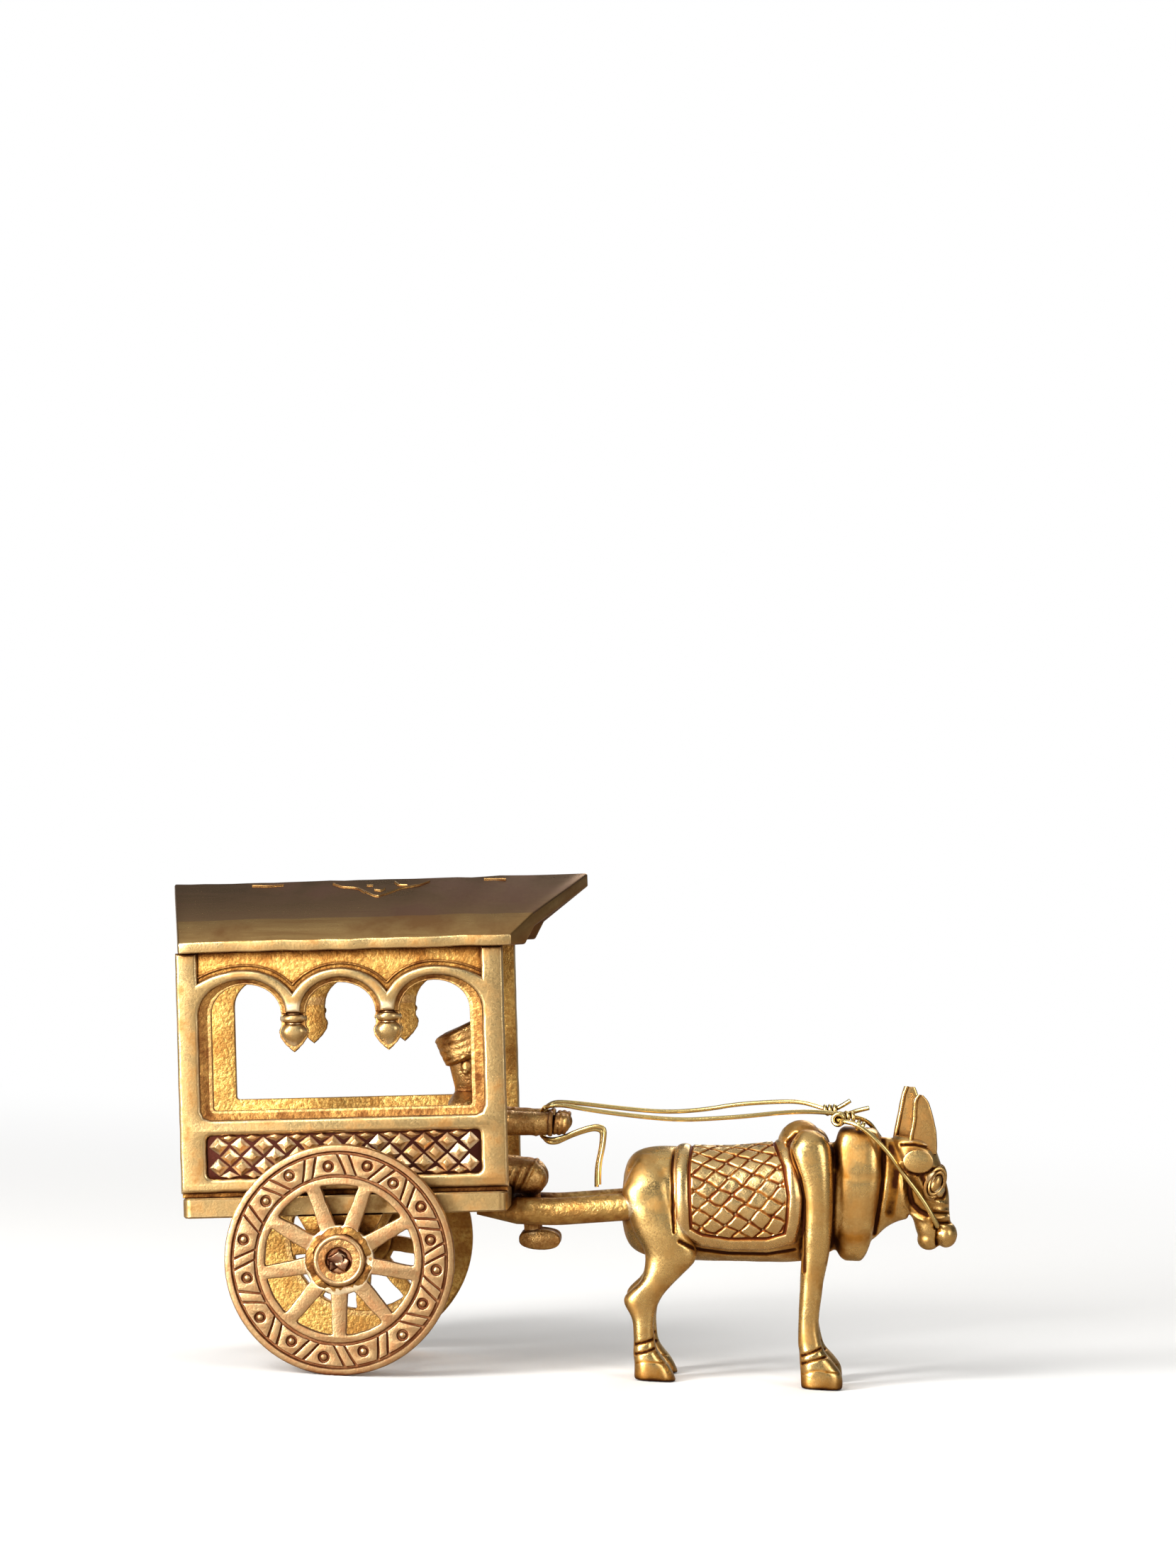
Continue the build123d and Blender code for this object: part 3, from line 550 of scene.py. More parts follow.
world = bpy.data.worlds.new("studio")
scene.world = world
world.use_nodes = True
tree = world.node_tree
back = tree.nodes["Background"]
path = tree.nodes.new("ShaderNodeLightPath").outputs
aim = nodeIn(tree, "ShaderNodeSeparateXYZ")
tree.links.new(tree.nodes.new("ShaderNodeTexCoord").outputs["Generated"], aim.inputs[0])
times, sphere = partial(mathOf, tree, "MULTIPLY"), aim.outputs
sky = mapRange(tree, sphere["Z"], 0.10, 0.42, studio["horizon"], studio["dusk"])
sky = mathOf(tree, "MAXIMUM", sky, mapRange(tree, sphere["Z"], 0.74, 0.96, studio["dusk"], studio["zenith"]))
sky = times(sky, mapRange(tree, sphere["X"], -0.5, 0.6, 1.0, studio["rightSide"]))
plain = times(mathOf(tree, "SUBTRACT", 1.0, path["Is Glossy Ray"]), studio["worldLevel"])
seen = mathOf(tree, "ADD", times(sky, path["Is Glossy Ray"]), plain)
tree.links.new(mathOf(tree, "MAXIMUM", seen, path["Is Camera Ray"]), back.inputs["Strength"])
back.inputs["Color"].default_value = (1, 1, 1, 1)

# A pale floor that fades into the white backdrop, and shows darker where the brass mirrors it
floorShape = bmesh.new()
bmesh.ops.create_grid(floorShape, x_segments=2, y_segments=2, size=studio["floorSize"] / 2)
floor = placed("floor", meshOf("floor", floorShape))
floorFinish = bpy.data.materials.new("paleFloor")
floorShader = shaderOf(floorFinish)
floorShader.inputs["Roughness"].default_value = 0.8
tree = floorFinish.node_tree
link = tree.links.new
path = tree.nodes.new("ShaderNodeLightPath").outputs
distance = nodeIn(tree, "ShaderNodeVectorMath", operation="LENGTH")
link(tree.nodes.new("ShaderNodeTexCoord").outputs["Object"], distance.inputs[0])
farAway = nodeIn(tree, "ShaderNodeMapRange", {"From Min": studio["fadeFrom"], "From Max": studio["fadeTo"]},
                 interpolation_type="SMOOTHSTEP")
link(distance.outputs["Value"], farAway.inputs["Value"])
glow = nodeIn(tree, "ShaderNodeEmission", {"Color": (1, 1, 1, 1), "Strength": 1.0})
floorMix = tree.nodes.new("ShaderNodeMixShader")
for index, socket in enumerate((mathOf(tree, "MULTIPLY", farAway.outputs["Result"], path["Is Camera Ray"]),
                                floorShader.outputs[0], glow.outputs[0])):
    link(socket, floorMix.inputs[index])
link(floorMix.outputs[0], next(n for n in tree.nodes if n.type == "OUTPUT_MATERIAL").inputs["Surface"])
link(mixColours(tree, path["Is Glossy Ray"], studio["floorColour"], studio["mirroredFloor"]),
     floorShader.inputs["Base Color"])
floor.data.materials.append(floorFinish)
scene.view_settings.view_transform = "Standard"
print("camera, light and floor made")


body = {"axleX": -36.9, "wheelR": 20.3, "deckRise": 11.1, "tilt": 4.2}
deckPose = (Matrix.Translation((body["axleX"], 0, body["wheelR"] + body["deckRise"]))
            @ rotation(-body["tilt"], "Y"))

wall = {
    "half": 29.1, "foot": 0.8, "top": 43.4, "outer": 18.6, "thick": 2.4, "relief": 0.8,
    "postInner": 25.2, "railLow": 11.0, "railHigh": 13.7,
    "windowHalf": 23.0, "sill": 15.3, "spring": 32.4,
    "pitch": 16.77, "archHalf": 6.235, "archRise": 5.2, "reveal": 0.9,
    "bandHalf": 9.4, "bandEndHalf": 12.2, "bandRise": 7.8,
    "panelHalf": 24.4, "panelLow": 3.3, "columns": 12, "studHeight": 0.7, "edge": 0.68,
    # raised lines above the band: centre in pitches, left and right reach, from and to angle
    "lineProud": 0.8, "lineRadius": 0.19,
    "lines": ((-1, ("bandEndHalf", "bandHalf"), 130, 35), (0, ("bandHalf", "bandHalf"), 145, 35),
              (1, ("bandHalf", "bandEndHalf"), 145, 50)),
    # pendants: (radius, height) of the turned bud, and the outline of its plain back
    "bud": ((0.0, -7.1), (0.8, -6.45), (1.7, -5.3), (2.4, -4.2), (2.65, -3.5), (2.6, -3.0), (2.25, -2.4),
            (1.75, -2.05), (1.7, -1.85), (2.2, -1.62), (2.42, -1.25), (2.42, -0.85), (2.2, -0.5),
            (1.75, -0.3), (1.7, -0.1), (2.1, 0.15), (2.2, 0.5), (2.1, 1.6), (0.0, 1.6)),
    "leaf": ((-2.15, 1.4), (-2.15, -2.3), (-2.6, -3.3), (-2.4, -4.4), (-1.5, -5.7), (0, -7.0), (1.5, -5.7),
             (2.4, -4.4), (2.6, -3.3), (2.15, -2.3), (2.15, 1.4)),
}


def archedWindow(low, half, rise, archHalf, endHalf, corner):
    # The three-arched opening, from its left side over the arches and back along the sill
    pitch, spring = wall["pitch"], wall["spring"]
    outline = arc(-pitch, spring, endHalf, rise, 180, 90, 10)
    outline += arc(-pitch, spring, archHalf, rise, 90, 0, 8)[1:]
    outline += arc(0, spring, archHalf, rise, 180, 0, 16)
    outline += arc(pitch, spring, archHalf, rise, 180, 90, 8)
    outline += arc(pitch, spring, endHalf, rise, 90, 0, 10)[1:]
    soft = 0.3 * corner
    return outline + [(half, low + corner), (half - soft, low + soft), (half - corner, low),
                      (corner - half, low), (soft - half, low + soft), (-half, low + corner)]


windowFront = archedWindow(wall["railHigh"], wall["postInner"], wall["archRise"] + wall["reveal"],
                           wall["archHalf"] + wall["reveal"], wall["postInner"] - wall["pitch"], 1.6)
windowBack = archedWindow(wall["sill"], wall["windowHalf"], wall["archRise"], wall["archHalf"],
                          wall["windowHalf"] - wall["pitch"], 0.5)


def wallFrameOutline():
    w = wall
    half, top, inner, pitch, spring = w["half"], w["top"], w["postInner"], w["pitch"], w["spring"]
    rise, mid, end = w["bandRise"], w["bandHalf"], w["bandEndHalf"]
    start = 180 - degrees(acos((inner - pitch) / end))
    valley = degrees(acos(pitch / 2 / mid))
    points = [(-half, w["foot"]), (-half, top), (-inner, top)]
    points += arc(-pitch, spring, end, rise, start, 90, 8) + arc(-pitch, spring, mid, rise, 90, valley, 8)[1:]
    points += arc(0, spring, mid, rise, 180 - valley, valley, 16)
    points += arc(pitch, spring, mid, rise, 180 - valley, 90, 8)
    points += arc(pitch, spring, end, rise, 90, 180 - start, 8)[1:]
    return points + [(inner, top), (half, top), (half, w["foot"])]


def panelOutline(margin, radius):
    w = wall
    half, low, high = w["panelHalf"] + margin, w["panelLow"] - margin, w["railLow"] + margin
    return rounded([(-half, low), (-half, high), (half, high), (half, low)], radius)


def wallShape():
    w = wall
    relief, thick, spring = w["relief"], w["thick"], w["spring"]
    shape = bmesh.new()
    outlines = [wobbled(wallFrameOutline(), 0.06, shift=1), wobbled(windowFront, 0.09, shift=2),
                wobbled(panelOutline(0, 1.1), 0.09, shift=3)]
    addPart(shape, plate(outlines, relief + 0.7, w["edge"], 4))
    half = w["half"] - 0.2
    outlines = [[(-half, 0), (-half, w["top"]), (half, w["top"]), (half, 0)],
                wobbled(windowBack, 0.05, shift=4)]
    addPart(shape, lifted(plate(outlines, thick - relief, 0.18), -relief), 1)
    # Sloped reveal between the frame's edge and the opening
    slope = bmesh.new()
    rings = []
    for outline, depth in ((windowFront, -0.5), (windowBack, -relief - 0.12)):
        spots = [slope.verts.new((x, y, depth)) for x, y in outline]
        rings += [slope.edges.new((spots[k - 1], spots[k])) for k in range(len(spots))]
    bmesh.ops.bridge_loops(slope, edges=rings)
    slope.normal_update()
    if sum(face.normal.z for face in slope.faces) < 0:
        bmesh.ops.reverse_faces(slope, faces=slope.faces)
    addPart(shape, slope, 2, openSheet=True)
    # Floor of the stud lattice, near black: patina and painted shade between the studs
    addPart(shape, lifted(plate([panelOutline(0.2, 0.9)], 0.3, 0.05, 1), -relief + 0.04), 4)
    proud = w["lineProud"]
    for place, reaches, fromAngle, toAngle in w["lines"]:
        line = []
        for step in range(13):
            angle = radians(fromAngle + (toAngle - fromAngle) * step / 12)
            wide = w[reaches[0] if angle > pi / 2 else reaches[1]] + proud
            line.append((place * w["pitch"] + wide * cos(angle),
                         spring + (w["bandRise"] + proud) * sin(angle), -relief + 0.1))
        addPart(shape, wire(line, w["lineRadius"], 2, 3, 3), 2)
    addPart(shape, studShape(), 3)
    # Pendants, turned and then ground flat in front, with a plain cast back
    for step in (-0.5, 0.5):
        bud = moved(turned(w["bud"], 36), Matrix.Translation((step * w["pitch"], spring, -thick))
                    @ rotation(-90, "X"))
        for vert in bud.verts:
            if vert.co.z > -0.1:
                vert.co.z = -0.1 + 0.12 * (vert.co.z + 0.1)
            if vert.co.z < -thick + 0.5:
                vert.co.z = -thick + 0.53
        handCast(bud, 0.05, 0.6)
        addPart(shape, bud)
        leaf = plate([[(x + step * w["pitch"], y + spring) for x, y in w["leaf"]]], 1.1, 0.2)
        addPart(shape, lifted(leaf, -thick + 1.14), 1)
    return shape


def studShape():
    # Blunt pyramids in five rows, the outer rows cut in half by the panel's edge
    w = wall
    stray = random.uniform
    stepU = 2 * w["panelHalf"] / w["columns"]
    stepV = (w["railLow"] - w["panelLow"]) / 2
    studs = bmesh.new()
    for row in range(5):
        count = w["columns"] - 1 if row % 2 == 0 else w["columns"]
        half = row in (0, 4)
        inwards = 0.5 if row == 0 else -0.5 if row == 4 else 0
        for column in range(count):
            u = (column - (count - 1) / 2) * stepU + stray(-0.12, 0.12)
            v = w["panelLow"] + row * stepV / 2 + stray(-0.08, 0.08) + inwards
            tall = w["studHeight"] * stray(0.8, 1.1) * (0.8 if half else 1)
            made = bmesh.ops.create_cone(studs, cap_ends=True, segments=4, radius1=1,
                                         radius2=stray(0.3, 0.46), depth=1)["verts"]
            for vert in made:
                if vert.co.z > 0:
                    vert.co += Vector((stray(-0.09, 0.09), stray(-0.09, 0.09), stray(-0.12, 0.06)))
            matrix = (Matrix.Translation((u, v, -w["relief"] + tall / 2)) @ rotation(stray(-6, 6), "Z")
                      @ Matrix.Diagonal((stepU * 0.445, stepV * (0.235 if half else 0.435), tall, 1)))
            bmesh.ops.transform(studs, matrix=matrix, verts=made)
    rims = [e for e in studs.edges if min(v.co.z for v in e.verts) > -w["relief"] + 0.05]
    bmesh.ops.bevel(studs, geom=rims, offset=0.07, segments=2, profile=0.5, affect="EDGES", material=-1)
    return studs


for side, name, node in ((-1, "sideWallRight", "side_wall_right"), (1, "sideWallLeft", "side_wall_left")):
    shape = wallShape()
    pose = (Matrix.Diagonal((1, -side, 1, 1)) @ deckPose @ Matrix.Translation((0, -wall["outer"], 0))
            @ rotation(90, "X"))
    moved(shape, pose)
    if side > 0:
        bmesh.ops.reverse_faces(shape, faces=shape.faces)
    finishPiece(name, shape, [polishedBrass, sandBrass, darkBrass, studBrass, studGapPatinaShade], "cart",
                [node])
print("side walls made")

roofPlan = {"half": 20.0, "rear": -28.2, "front": 30.6, "crownRear": -31.3, "crownFront": 43.7,
            "fascia": 1.9, "creaseY": 14.0, "creaseRise": 5.6, "crownRise": 12.1, "thick": 2.5, "edge": 0.3,
            # lines: how far down the slope, lift, half thickness, finish
            "raisedLine": (0.0, 0.04, 0.17, 1), "darkCut": (0.34, -0.02, 0.15, 3)}
roofLines = (
    # lines on each slope, each a run of (along the roof, distance from the crown)
    ((-2.2, 1.4), (-0.6, 2.6), (2.3, 3.3), (6.0, 6.6), (8.4, 4.9), (10.3, 3.5), (13.6, 2.6), (15.3, 1.4)),
    ((2.3, 3.3), (3.8, 5.0)), ((5.4, 4.0), (6.6, 4.4), (7.2, 3.6)), ((3.9, 2.4), (5.0, 2.4)),
    ((8.8, 1.3), (9.6, 2.4), (11.2, 2.7)), ((-17.0, 1.3), (-14.0, 1.6), (-11.2, 1.3)),
    ((25.0, 1.2), (29.0, 1.7)),
)


def roofStray(place):
    # Unevenness that the roof and the lines on it share
    return noise.noise_vector(Vector((place.x, place.y * 0.3, place.z * 0.3)) * 0.22) * 0.2


def roofShape():
    # A ridged plate, drawn too long and then cut to its pointed ends
    r = roofPlan
    top = wall["top"]
    section = [(0, r["crownRise"]), (r["creaseY"], r["creaseRise"]), (r["half"], r["fascia"]), (r["half"], 0),
               (wall["outer"] - wall["thick"], 0), (r["creaseY"] - 0.4, r["creaseRise"] - r["thick"]),
               (0, r["crownRise"] - r["thick"])]
    ring = section + [(-y, z) for y, z in reversed(section[1:-1])]
    shape = bmesh.new()
    face = shape.faces.new([shape.verts.new((-60, y, z + top)) for y, z in ring])
    made = bmesh.ops.extrude_face_region(shape, geom=[face])
    bmesh.ops.translate(shape, vec=(120, 0, 0),
                        verts=[v for v in made["geom"] if isinstance(v, bmesh.types.BMVert)])
    for sign in (-1, 1):
        for tipU, eaveU, outward in ((r["crownFront"], r["front"], 1), (r["crownRear"], r["rear"], -1)):
            normal = Vector((outward * r["half"], sign * outward * (tipU - eaveU), 0))
            bmesh.ops.bisect_plane(shape, geom=shape.verts[:] + shape.edges[:] + shape.faces[:],
                                   plane_co=(tipU, 0, 0), plane_no=normal, clear_outer=True)
            bmesh.ops.holes_fill(shape, edges=shape.edges[:], sides=0)
    bmesh.ops.remove_doubles(shape, verts=shape.verts, dist=0.001)
    bmesh.ops.recalc_face_normals(shape, faces=shape.faces)
    sharp = [e for e in shape.edges if len(e.link_faces) == 2 and e.calc_face_angle(0) > radians(12)]
    bmesh.ops.bevel(shape, geom=sharp, offset=r["edge"], segments=3, profile=0.5, affect="EDGES", material=-1,
                    clamp_overlap=True)
    lengthwise = [e for e in shape.edges
                  if abs(e.verts[0].co.x - e.verts[1].co.x) > 20
                  and abs(e.verts[0].co.y - e.verts[1].co.y) < 2]
    bmesh.ops.subdivide_edges(shape, edges=lengthwise, cuts=28)
    for vert in shape.verts:
        vert.co += roofStray(vert.co)
    # Fascia faces take the polished finish; faces below the crease take the lighter copy, a painted
    # reflection of the bright horizon on the lower slope
    for face in shape.faces:
        middle = face.calc_center_median()
        if abs(face.normal.y) > 0.85 and middle.z - top < r["fascia"] + 0.3:
            face.material_index = 2
        elif middle.z - top < r["creaseRise"] + 0.2 and face.normal.z > -0.2:
            face.material_index = 1
    return shape


shape = roofShape()
lineWork = bmesh.new()
fall = roofPlan["crownRise"] - roofPlan["creaseRise"]
for run in roofLines:
    for side in (-1, 1):
        # A raised edge with a dark cut below it
        for shift, lift, thick, slotIndex in (roofPlan["raisedLine"], roofPlan["darkCut"]):
            spots = [Vector((u, side * (y + shift), wall["top"] + roofPlan["crownRise"] + lift
                             - (y + shift) * fall / roofPlan["creaseY"])) for u, y in run]
            addPart(lineWork, wire([spot + roofStray(spot) for spot in spots], thick, 1, 2, 4), slotIndex)
lineMesh = meshOf("lineWork", lineWork)
shape.from_mesh(lineMesh)
drop(lineMesh)
finishPiece("roofPlate", moved(shape, deckPose), [roofBrass, roofLowerSlopeSheen, polishedBrass, darkBrass], "cart",
            ["roof"])
print("roof made")


wheel = {"half": 1.1, "midY": 22.5, "ringInner": 13.25, "webOuter": 14.6, "webThick": 1.95, "spokes": 9,
         "spokeHalf": 1.2, "firstSpoke": -7.4, "spokeRoot": 6.1, "bandInner": 14.95, "bandOuter": 18.75,
         "stripHalf": 2.35, "slant": 3.0, "groove": 1.35, "cellRound": 1.02, "dot": 0.66,
         "dotFar": 17.25, "dotNear": 16.55, "hubOut": 1.9, "hubIn": 2.6, "hole": 1.7}
dotAngles = (99.3, 75.8, 57.4, 35.8, 15.2, -2.9, -24.7, -47.0, -72.4, -96.4, -118.0, -141.5, -166.2, -189.3,
             -216.0, -236.6)


def onWheel(r, angle):
    return (r * cos(radians(angle)), r * sin(radians(angle)))


def wheelShape():
    w = wheel
    top, front, back, hole = w["half"], w["hubOut"], -w["hubIn"], w["hole"]
    shape = bmesh.new()
    rim = [(13.6, -top), (19.9, -top), (20.3, -top + 0.35), (20.3, top - 0.4), (20.15, top - 0.12),
           (19.85, top), (19.25, top - 0.04), (19.08, top - 0.3), (18.95, top - 0.5), (14.75, top - 0.5),
           (14.5, top - 0.5), (14.5, -top + 0.3), (13.6, -top + 0.2), (13.6, -top)]
    addPart(shape, turned(rim, 120))
    # Web with its nine openings
    outlines = [wobbled(arc(0, 0, w["webOuter"], w["webOuter"], 0, 354, 59), 0.05, shift=5)]
    root, ring = w["spokeRoot"], w["ringInner"]
    wide = degrees(asin(w["spokeHalf"] / ring))
    tight = degrees(asin((w["spokeHalf"] + 0.25) / root))
    for index in range(w["spokes"]):
        first = w["firstSpoke"] + 360 / w["spokes"] * index
        second = first + 360 / w["spokes"]
        corners = []
        for run, radius in ((arc(0, 0, ring, ring, first + wide, second - wide, 8), 0.45),
                            (arc(0, 0, root, root, second - tight, first + tight, 3), 0.9)):
            corners += [(*run[0], radius), *((*p, 0) for p in run[1:-1]), (*run[-1], radius)]
        outlines.append(wobbled(rounded(corners, 0, 4), 0.16, 1.2, shift=6 + index))
    addPart(shape, lifted(plate(outlines, w["webThick"], 0.26), top - 0.04))
    # Band of slanted strips, and of cells with a dot each
    cells = []
    count = len(dotAngles)
    low, high, strip = w["bandInner"] + 0.12, w["bandOuter"] - 0.12, w["stripHalf"]
    edge = strip + w["groove"]
    for index, here in enumerate(dotAngles):
        following = dotAngles[(index + 1) % count] - (360 if index == count - 1 else 0)
        before = dotAngles[index - 1] + (360 if index == 0 else 0)
        slant = w["slant"] if index % 2 == 0 else -w["slant"]
        mid, midBefore = (here + following) / 2, (here + before) / 2
        cells.append([onWheel(high, mid + slant + strip), onWheel(high, mid + slant - strip),
                      onWheel(low, mid - slant - strip - 0.4), onWheel(low, mid - slant + strip + 0.4)])
        outerFrom, outerTo = midBefore - slant - edge, mid + slant + edge
        innerFrom, innerTo = midBefore + slant - edge - 0.4, mid - slant + edge + 0.4
        cells.append(arc(0, 0, high, high, outerFrom, outerTo, 5)
                     + arc(0, 0, low, low, innerTo, innerFrom, 5))
        x, y = onWheel(w["dotFar"] if outerFrom - outerTo > innerFrom - innerTo else w["dotNear"], here)
        cells.append(arc(x, y, w["cellRound"], w["cellRound"], 0, 340, 17))
        dome = bmesh.new()
        bmesh.ops.create_uvsphere(dome, u_segments=16, v_segments=10, radius=w["dot"])
        moved(dome, Matrix.Translation((x, y, top - 0.42)) @ Matrix.Diagonal((1, 1, 0.8, 1)))
        handCast(dome, 0.06, 1.5)
        addPart(shape, dome)
    band = plate([wobbled(cell, 0.09, 0.8, shift=3 + k * 0.01) for k, cell in enumerate(cells)], 0.6, 0.13)
    addPart(shape, lifted(band, top - 0.06))
    # Hub, with its collar at the back, a rough fillet of metal round it and a polished lip
    collar = [(hole, back), (4.9, back), (5.3, back + 0.4), (5.3, -0.5), (hole, -0.5), (hole, back)]
    addPart(shape, turned(collar, 64), 1)
    weld = [(4.4, 0.3), (5.9, 0.3), (6.0, 0.85), (5.8, 1.08), (5.4, 1.18), (5.0, 1.22), (4.7, 1.3),
            (4.4, 1.0), (4.4, 0.3)]
    lump = turned(weld, 160)
    for vert in lump.verts:
        vert.co += noise.noise_vector(vert.co * 0.45) * 0.3 + noise.noise_vector(vert.co * 1.3) * 0.12
        vert.co.z = min(vert.co.z, 1.5)
    addPart(shape, lump, 3)
    lip = [(2.4, 0.2), (4.6, 0.2), (4.62, 1.2), (4.55, 1.6), (4.3, front - 0.04), (4.0, front),
           (3.75, front - 0.06), (3.6, front - 0.22), (2.4, front - 0.3), (2.4, 0.2)]
    addPart(shape, turned(lip, 80))
    face = [(2.3, 0.6), (2.25, front - 0.5), (2.45, front - 0.22), (2.8, front - 0.16), (3.65, front - 0.17),
            (3.7, 0.6), (2.3, 0.6)]
    ring = turned(face, 80)
    handCast(ring, 0.09, 1.6)
    addPart(shape, ring, 1)
    bore = [(hole, front - 1.15), (2.4, front - 1.15), (2.4, 0.2), (hole, 0.2), (hole, front - 1.15)]
    addPart(shape, turned(bore, 48), 1)
    for face in shape.faces:
        if face.normal.z < -0.3 and face.calc_center_median().z < 0:
            face.material_index = 2
    return shape


axle = {
    "radius": 1.5, "reach": 22.8, "seat": 23.3, "limit": 24.4, "chipReach": 2.25,
    "chips": (  # place, size and lean of each torn lump of the riveted end
        ((-0.5, 0.3, 0.75), (2.3, 1.2, 1.3), (20, -28, 25)),
        ((0.75, -0.5, 0.65), (1.9, 1.3, 1.2), (-25, 22, 60)),
        ((0.3, 1.0, 0.6), (1.4, 0.8, 1.0), (30, 10, -30)),
        ((-1.0, -0.9, 0.45), (1.3, 1.0, 0.9), (15, 30, 10)),
    ),
}


def axleShape():
    # Plain journal between the wheels, with an end torn by the riveting hammer in each hub
    a = axle
    shape = bmesh.new()
    journal = [(0, -a["reach"]), (a["radius"], -a["reach"]), (a["radius"], a["reach"]), (0, a["reach"])]
    addPart(shape, turned(journal, 40), 0, rotation(90, "X"))
    for side in (-1, 1):
        for spot, size, lean in a["chips"]:
            chip = roundedCube(0.16)
            turn = rotation(lean[2], "Z") @ rotation(lean[1], "Y") @ rotation(lean[0], "X")
            moved(chip, Matrix.Translation((spot[0], spot[1], a["seat"] + spot[2] - 0.25)) @ turn
                  @ Matrix.Diagonal((size[0] * 1.15, size[1] * 1.5, size[2] * 1.1, 1)))
            bmesh.ops.subdivide_edges(chip, edges=chip.edges[:], cuts=2, use_grid_fill=True)
            handCast(chip, 0.22, 1.4)
            for vert in chip.verts:
                vert.co.z = min(vert.co.z, a["limit"])
                wide = sqrt(vert.co.x ** 2 + vert.co.y ** 2)
                if wide > a["chipReach"]:
                    vert.co.x *= a["chipReach"] / wide
                    vert.co.y *= a["chipReach"] / wide
            addPart(shape, chip, 0, rotation(-90 * side, "X"))
    return shape


shape = axleShape()
bmesh.ops.translate(shape, vec=(body["axleX"], 0, body["wheelR"]), verts=shape.verts)
finishPiece("axleShaft", shape, [rivetBrass], "cart", ["axle"], 30)
for side, name, node in ((-1, "wheelRight", "wheel_right"), (1, "wheelLeft", "wheel_left")):
    shape = wheelShape()
    pose = (Matrix.Diagonal((1, -side, 1, 1))
            @ Matrix.Translation((body["axleX"], -wheel["midY"], body["wheelR"])) @ rotation(90, "X"))
    moved(shape, pose)
    if side > 0:
        bmesh.ops.reverse_faces(shape, faces=shape.faces)
    finishPiece(name, shape, [wheelBrass, hubBrass, sandBrass, darkBrass], node, [node], 40)
print("wheels made")


saddle = {
    "rear": ((42.2, 21.2), (38.4, 20.9), (32.0, 21.4), (26.6, 21.9), (24.0, 22.3)),
    "front": ((44.0, 39.9), (43.1, 40.8), (39.4, 42.8), (34.1, 43.9), (29.5, 43.8), (26.3, 43.3),
              (24.0, 42.6)),
    "bottom": ((21.0, 26.6), (22.6, 25.9), (26.4, 24.4), (31.2, 24.0), (37.9, 24.3), (42.6, 25.6),
               (44.2, 26.6)),
    "hem": 0.4, "border": 2.15, "groove": 0.75, "proud": 0.42, "swell": 0.16, "field": 0.4, "cut": 0.32,
    "girth": 9.3, "lineDepth": 0.24, "lineDark": 0.95, "lineStray": 0.35, "uneven": 0.05,
    # crossed lines: angle, pitch and which way they fall
    "lines": ((26.0, 2.35, 1), (45.0, 2.6, -1)), "lineHalf": 0.40,
    "columns": 150, "rows": 260,
}
barrelRings = (
    # x, z low, z high, half width
    (11.6, 28.5, 36.0, 3.6), (12.4, 25.0, 38.8, 6.0), (14.2, 22.6, 40.6, 7.6), (18.0, 21.4, 41.5, 8.6),
    (24.0, 21.2, 41.6, 8.6), (31.0, 21.4, 41.9, 8.5), (38.0, 21.6, 42.9, 8.5), (42.0, 21.8, 43.8, 8.4),
    (46.5, 22.5, 43.8, 7.4), (51.0, 25.0, 43.4, 5.4),
)
dewlapRings = (
    # z, x behind, x in front, half width
    (46.5, 50.8, 56.2, 2.8), (45.5, 49.8, 57.2, 4.5), (42.0, 49.2, 57.8, 5.5), (38.0, 49.1, 58.1, 5.8),
    (34.0, 49.2, 57.7, 5.8), (28.0, 49.7, 56.9, 5.0), (25.0, 50.3, 56.2, 4.0), (23.4, 51.0, 55.5, 2.9),
    (22.6, 52.0, 54.8, 1.7),
)
neckRings = (
    # x, z low, z high, half width
    (52.0, 24.6, 44.6, 4.0), (55.0, 25.6, 44.9, 4.0), (57.0, 26.6, 45.1, 3.9), (59.0, 28.6, 45.0, 3.8),
    (61.0, 29.9, 44.8, 3.7), (63.0, 30.6, 44.4, 3.5),
)
skullRings = (
    # z, x behind, x in front, half width
    (45.4, 60.2, 65.4, 2.6), (44.3, 59.6, 67.0, 3.6), (41.0, 59.8, 68.4, 4.1), (37.8, 60.4, 69.5, 4.2),
    (35.0, 61.2, 70.2, 3.8), (32.4, 62.6, 70.4, 3.1), (30.6, 63.9, 70.6, 2.7), (28.4, 64.6, 70.6, 2.5),
    (27.2, 65.4, 69.8, 2.0),
)
hindRings = (
    # z, x behind, x in front, distance from the middle, half width
    (40.2, 14.6, 19.0, 2.6, 1.4), (38.2, 13.5, 20.2, 4.2, 2.3), (35.6, 12.3, 21.0, 5.4, 2.9),
    (33.0, 11.7, 21.4, 5.9, 3.2), (27.5, 13.6, 23.6, 6.2, 3.2), (22.5, 16.2, 25.6, 6.3, 2.8),
    (18.0, 15.8, 22.0, 6.3, 2.35), (14.4, 12.9, 19.3, 6.3, 2.1), (11.0, 14.4, 18.5, 6.3, 1.9),
    (7.6, 14.9, 18.7, 6.3, 1.9), (5.8, 15.0, 19.2, 6.3, 2.2), (4.6, 15.0, 20.0, 6.3, 2.5),
    (2.4, 15.3, 21.8, 6.3, 2.8), (0.15, 15.4, 22.9, 6.3, 2.9),
)
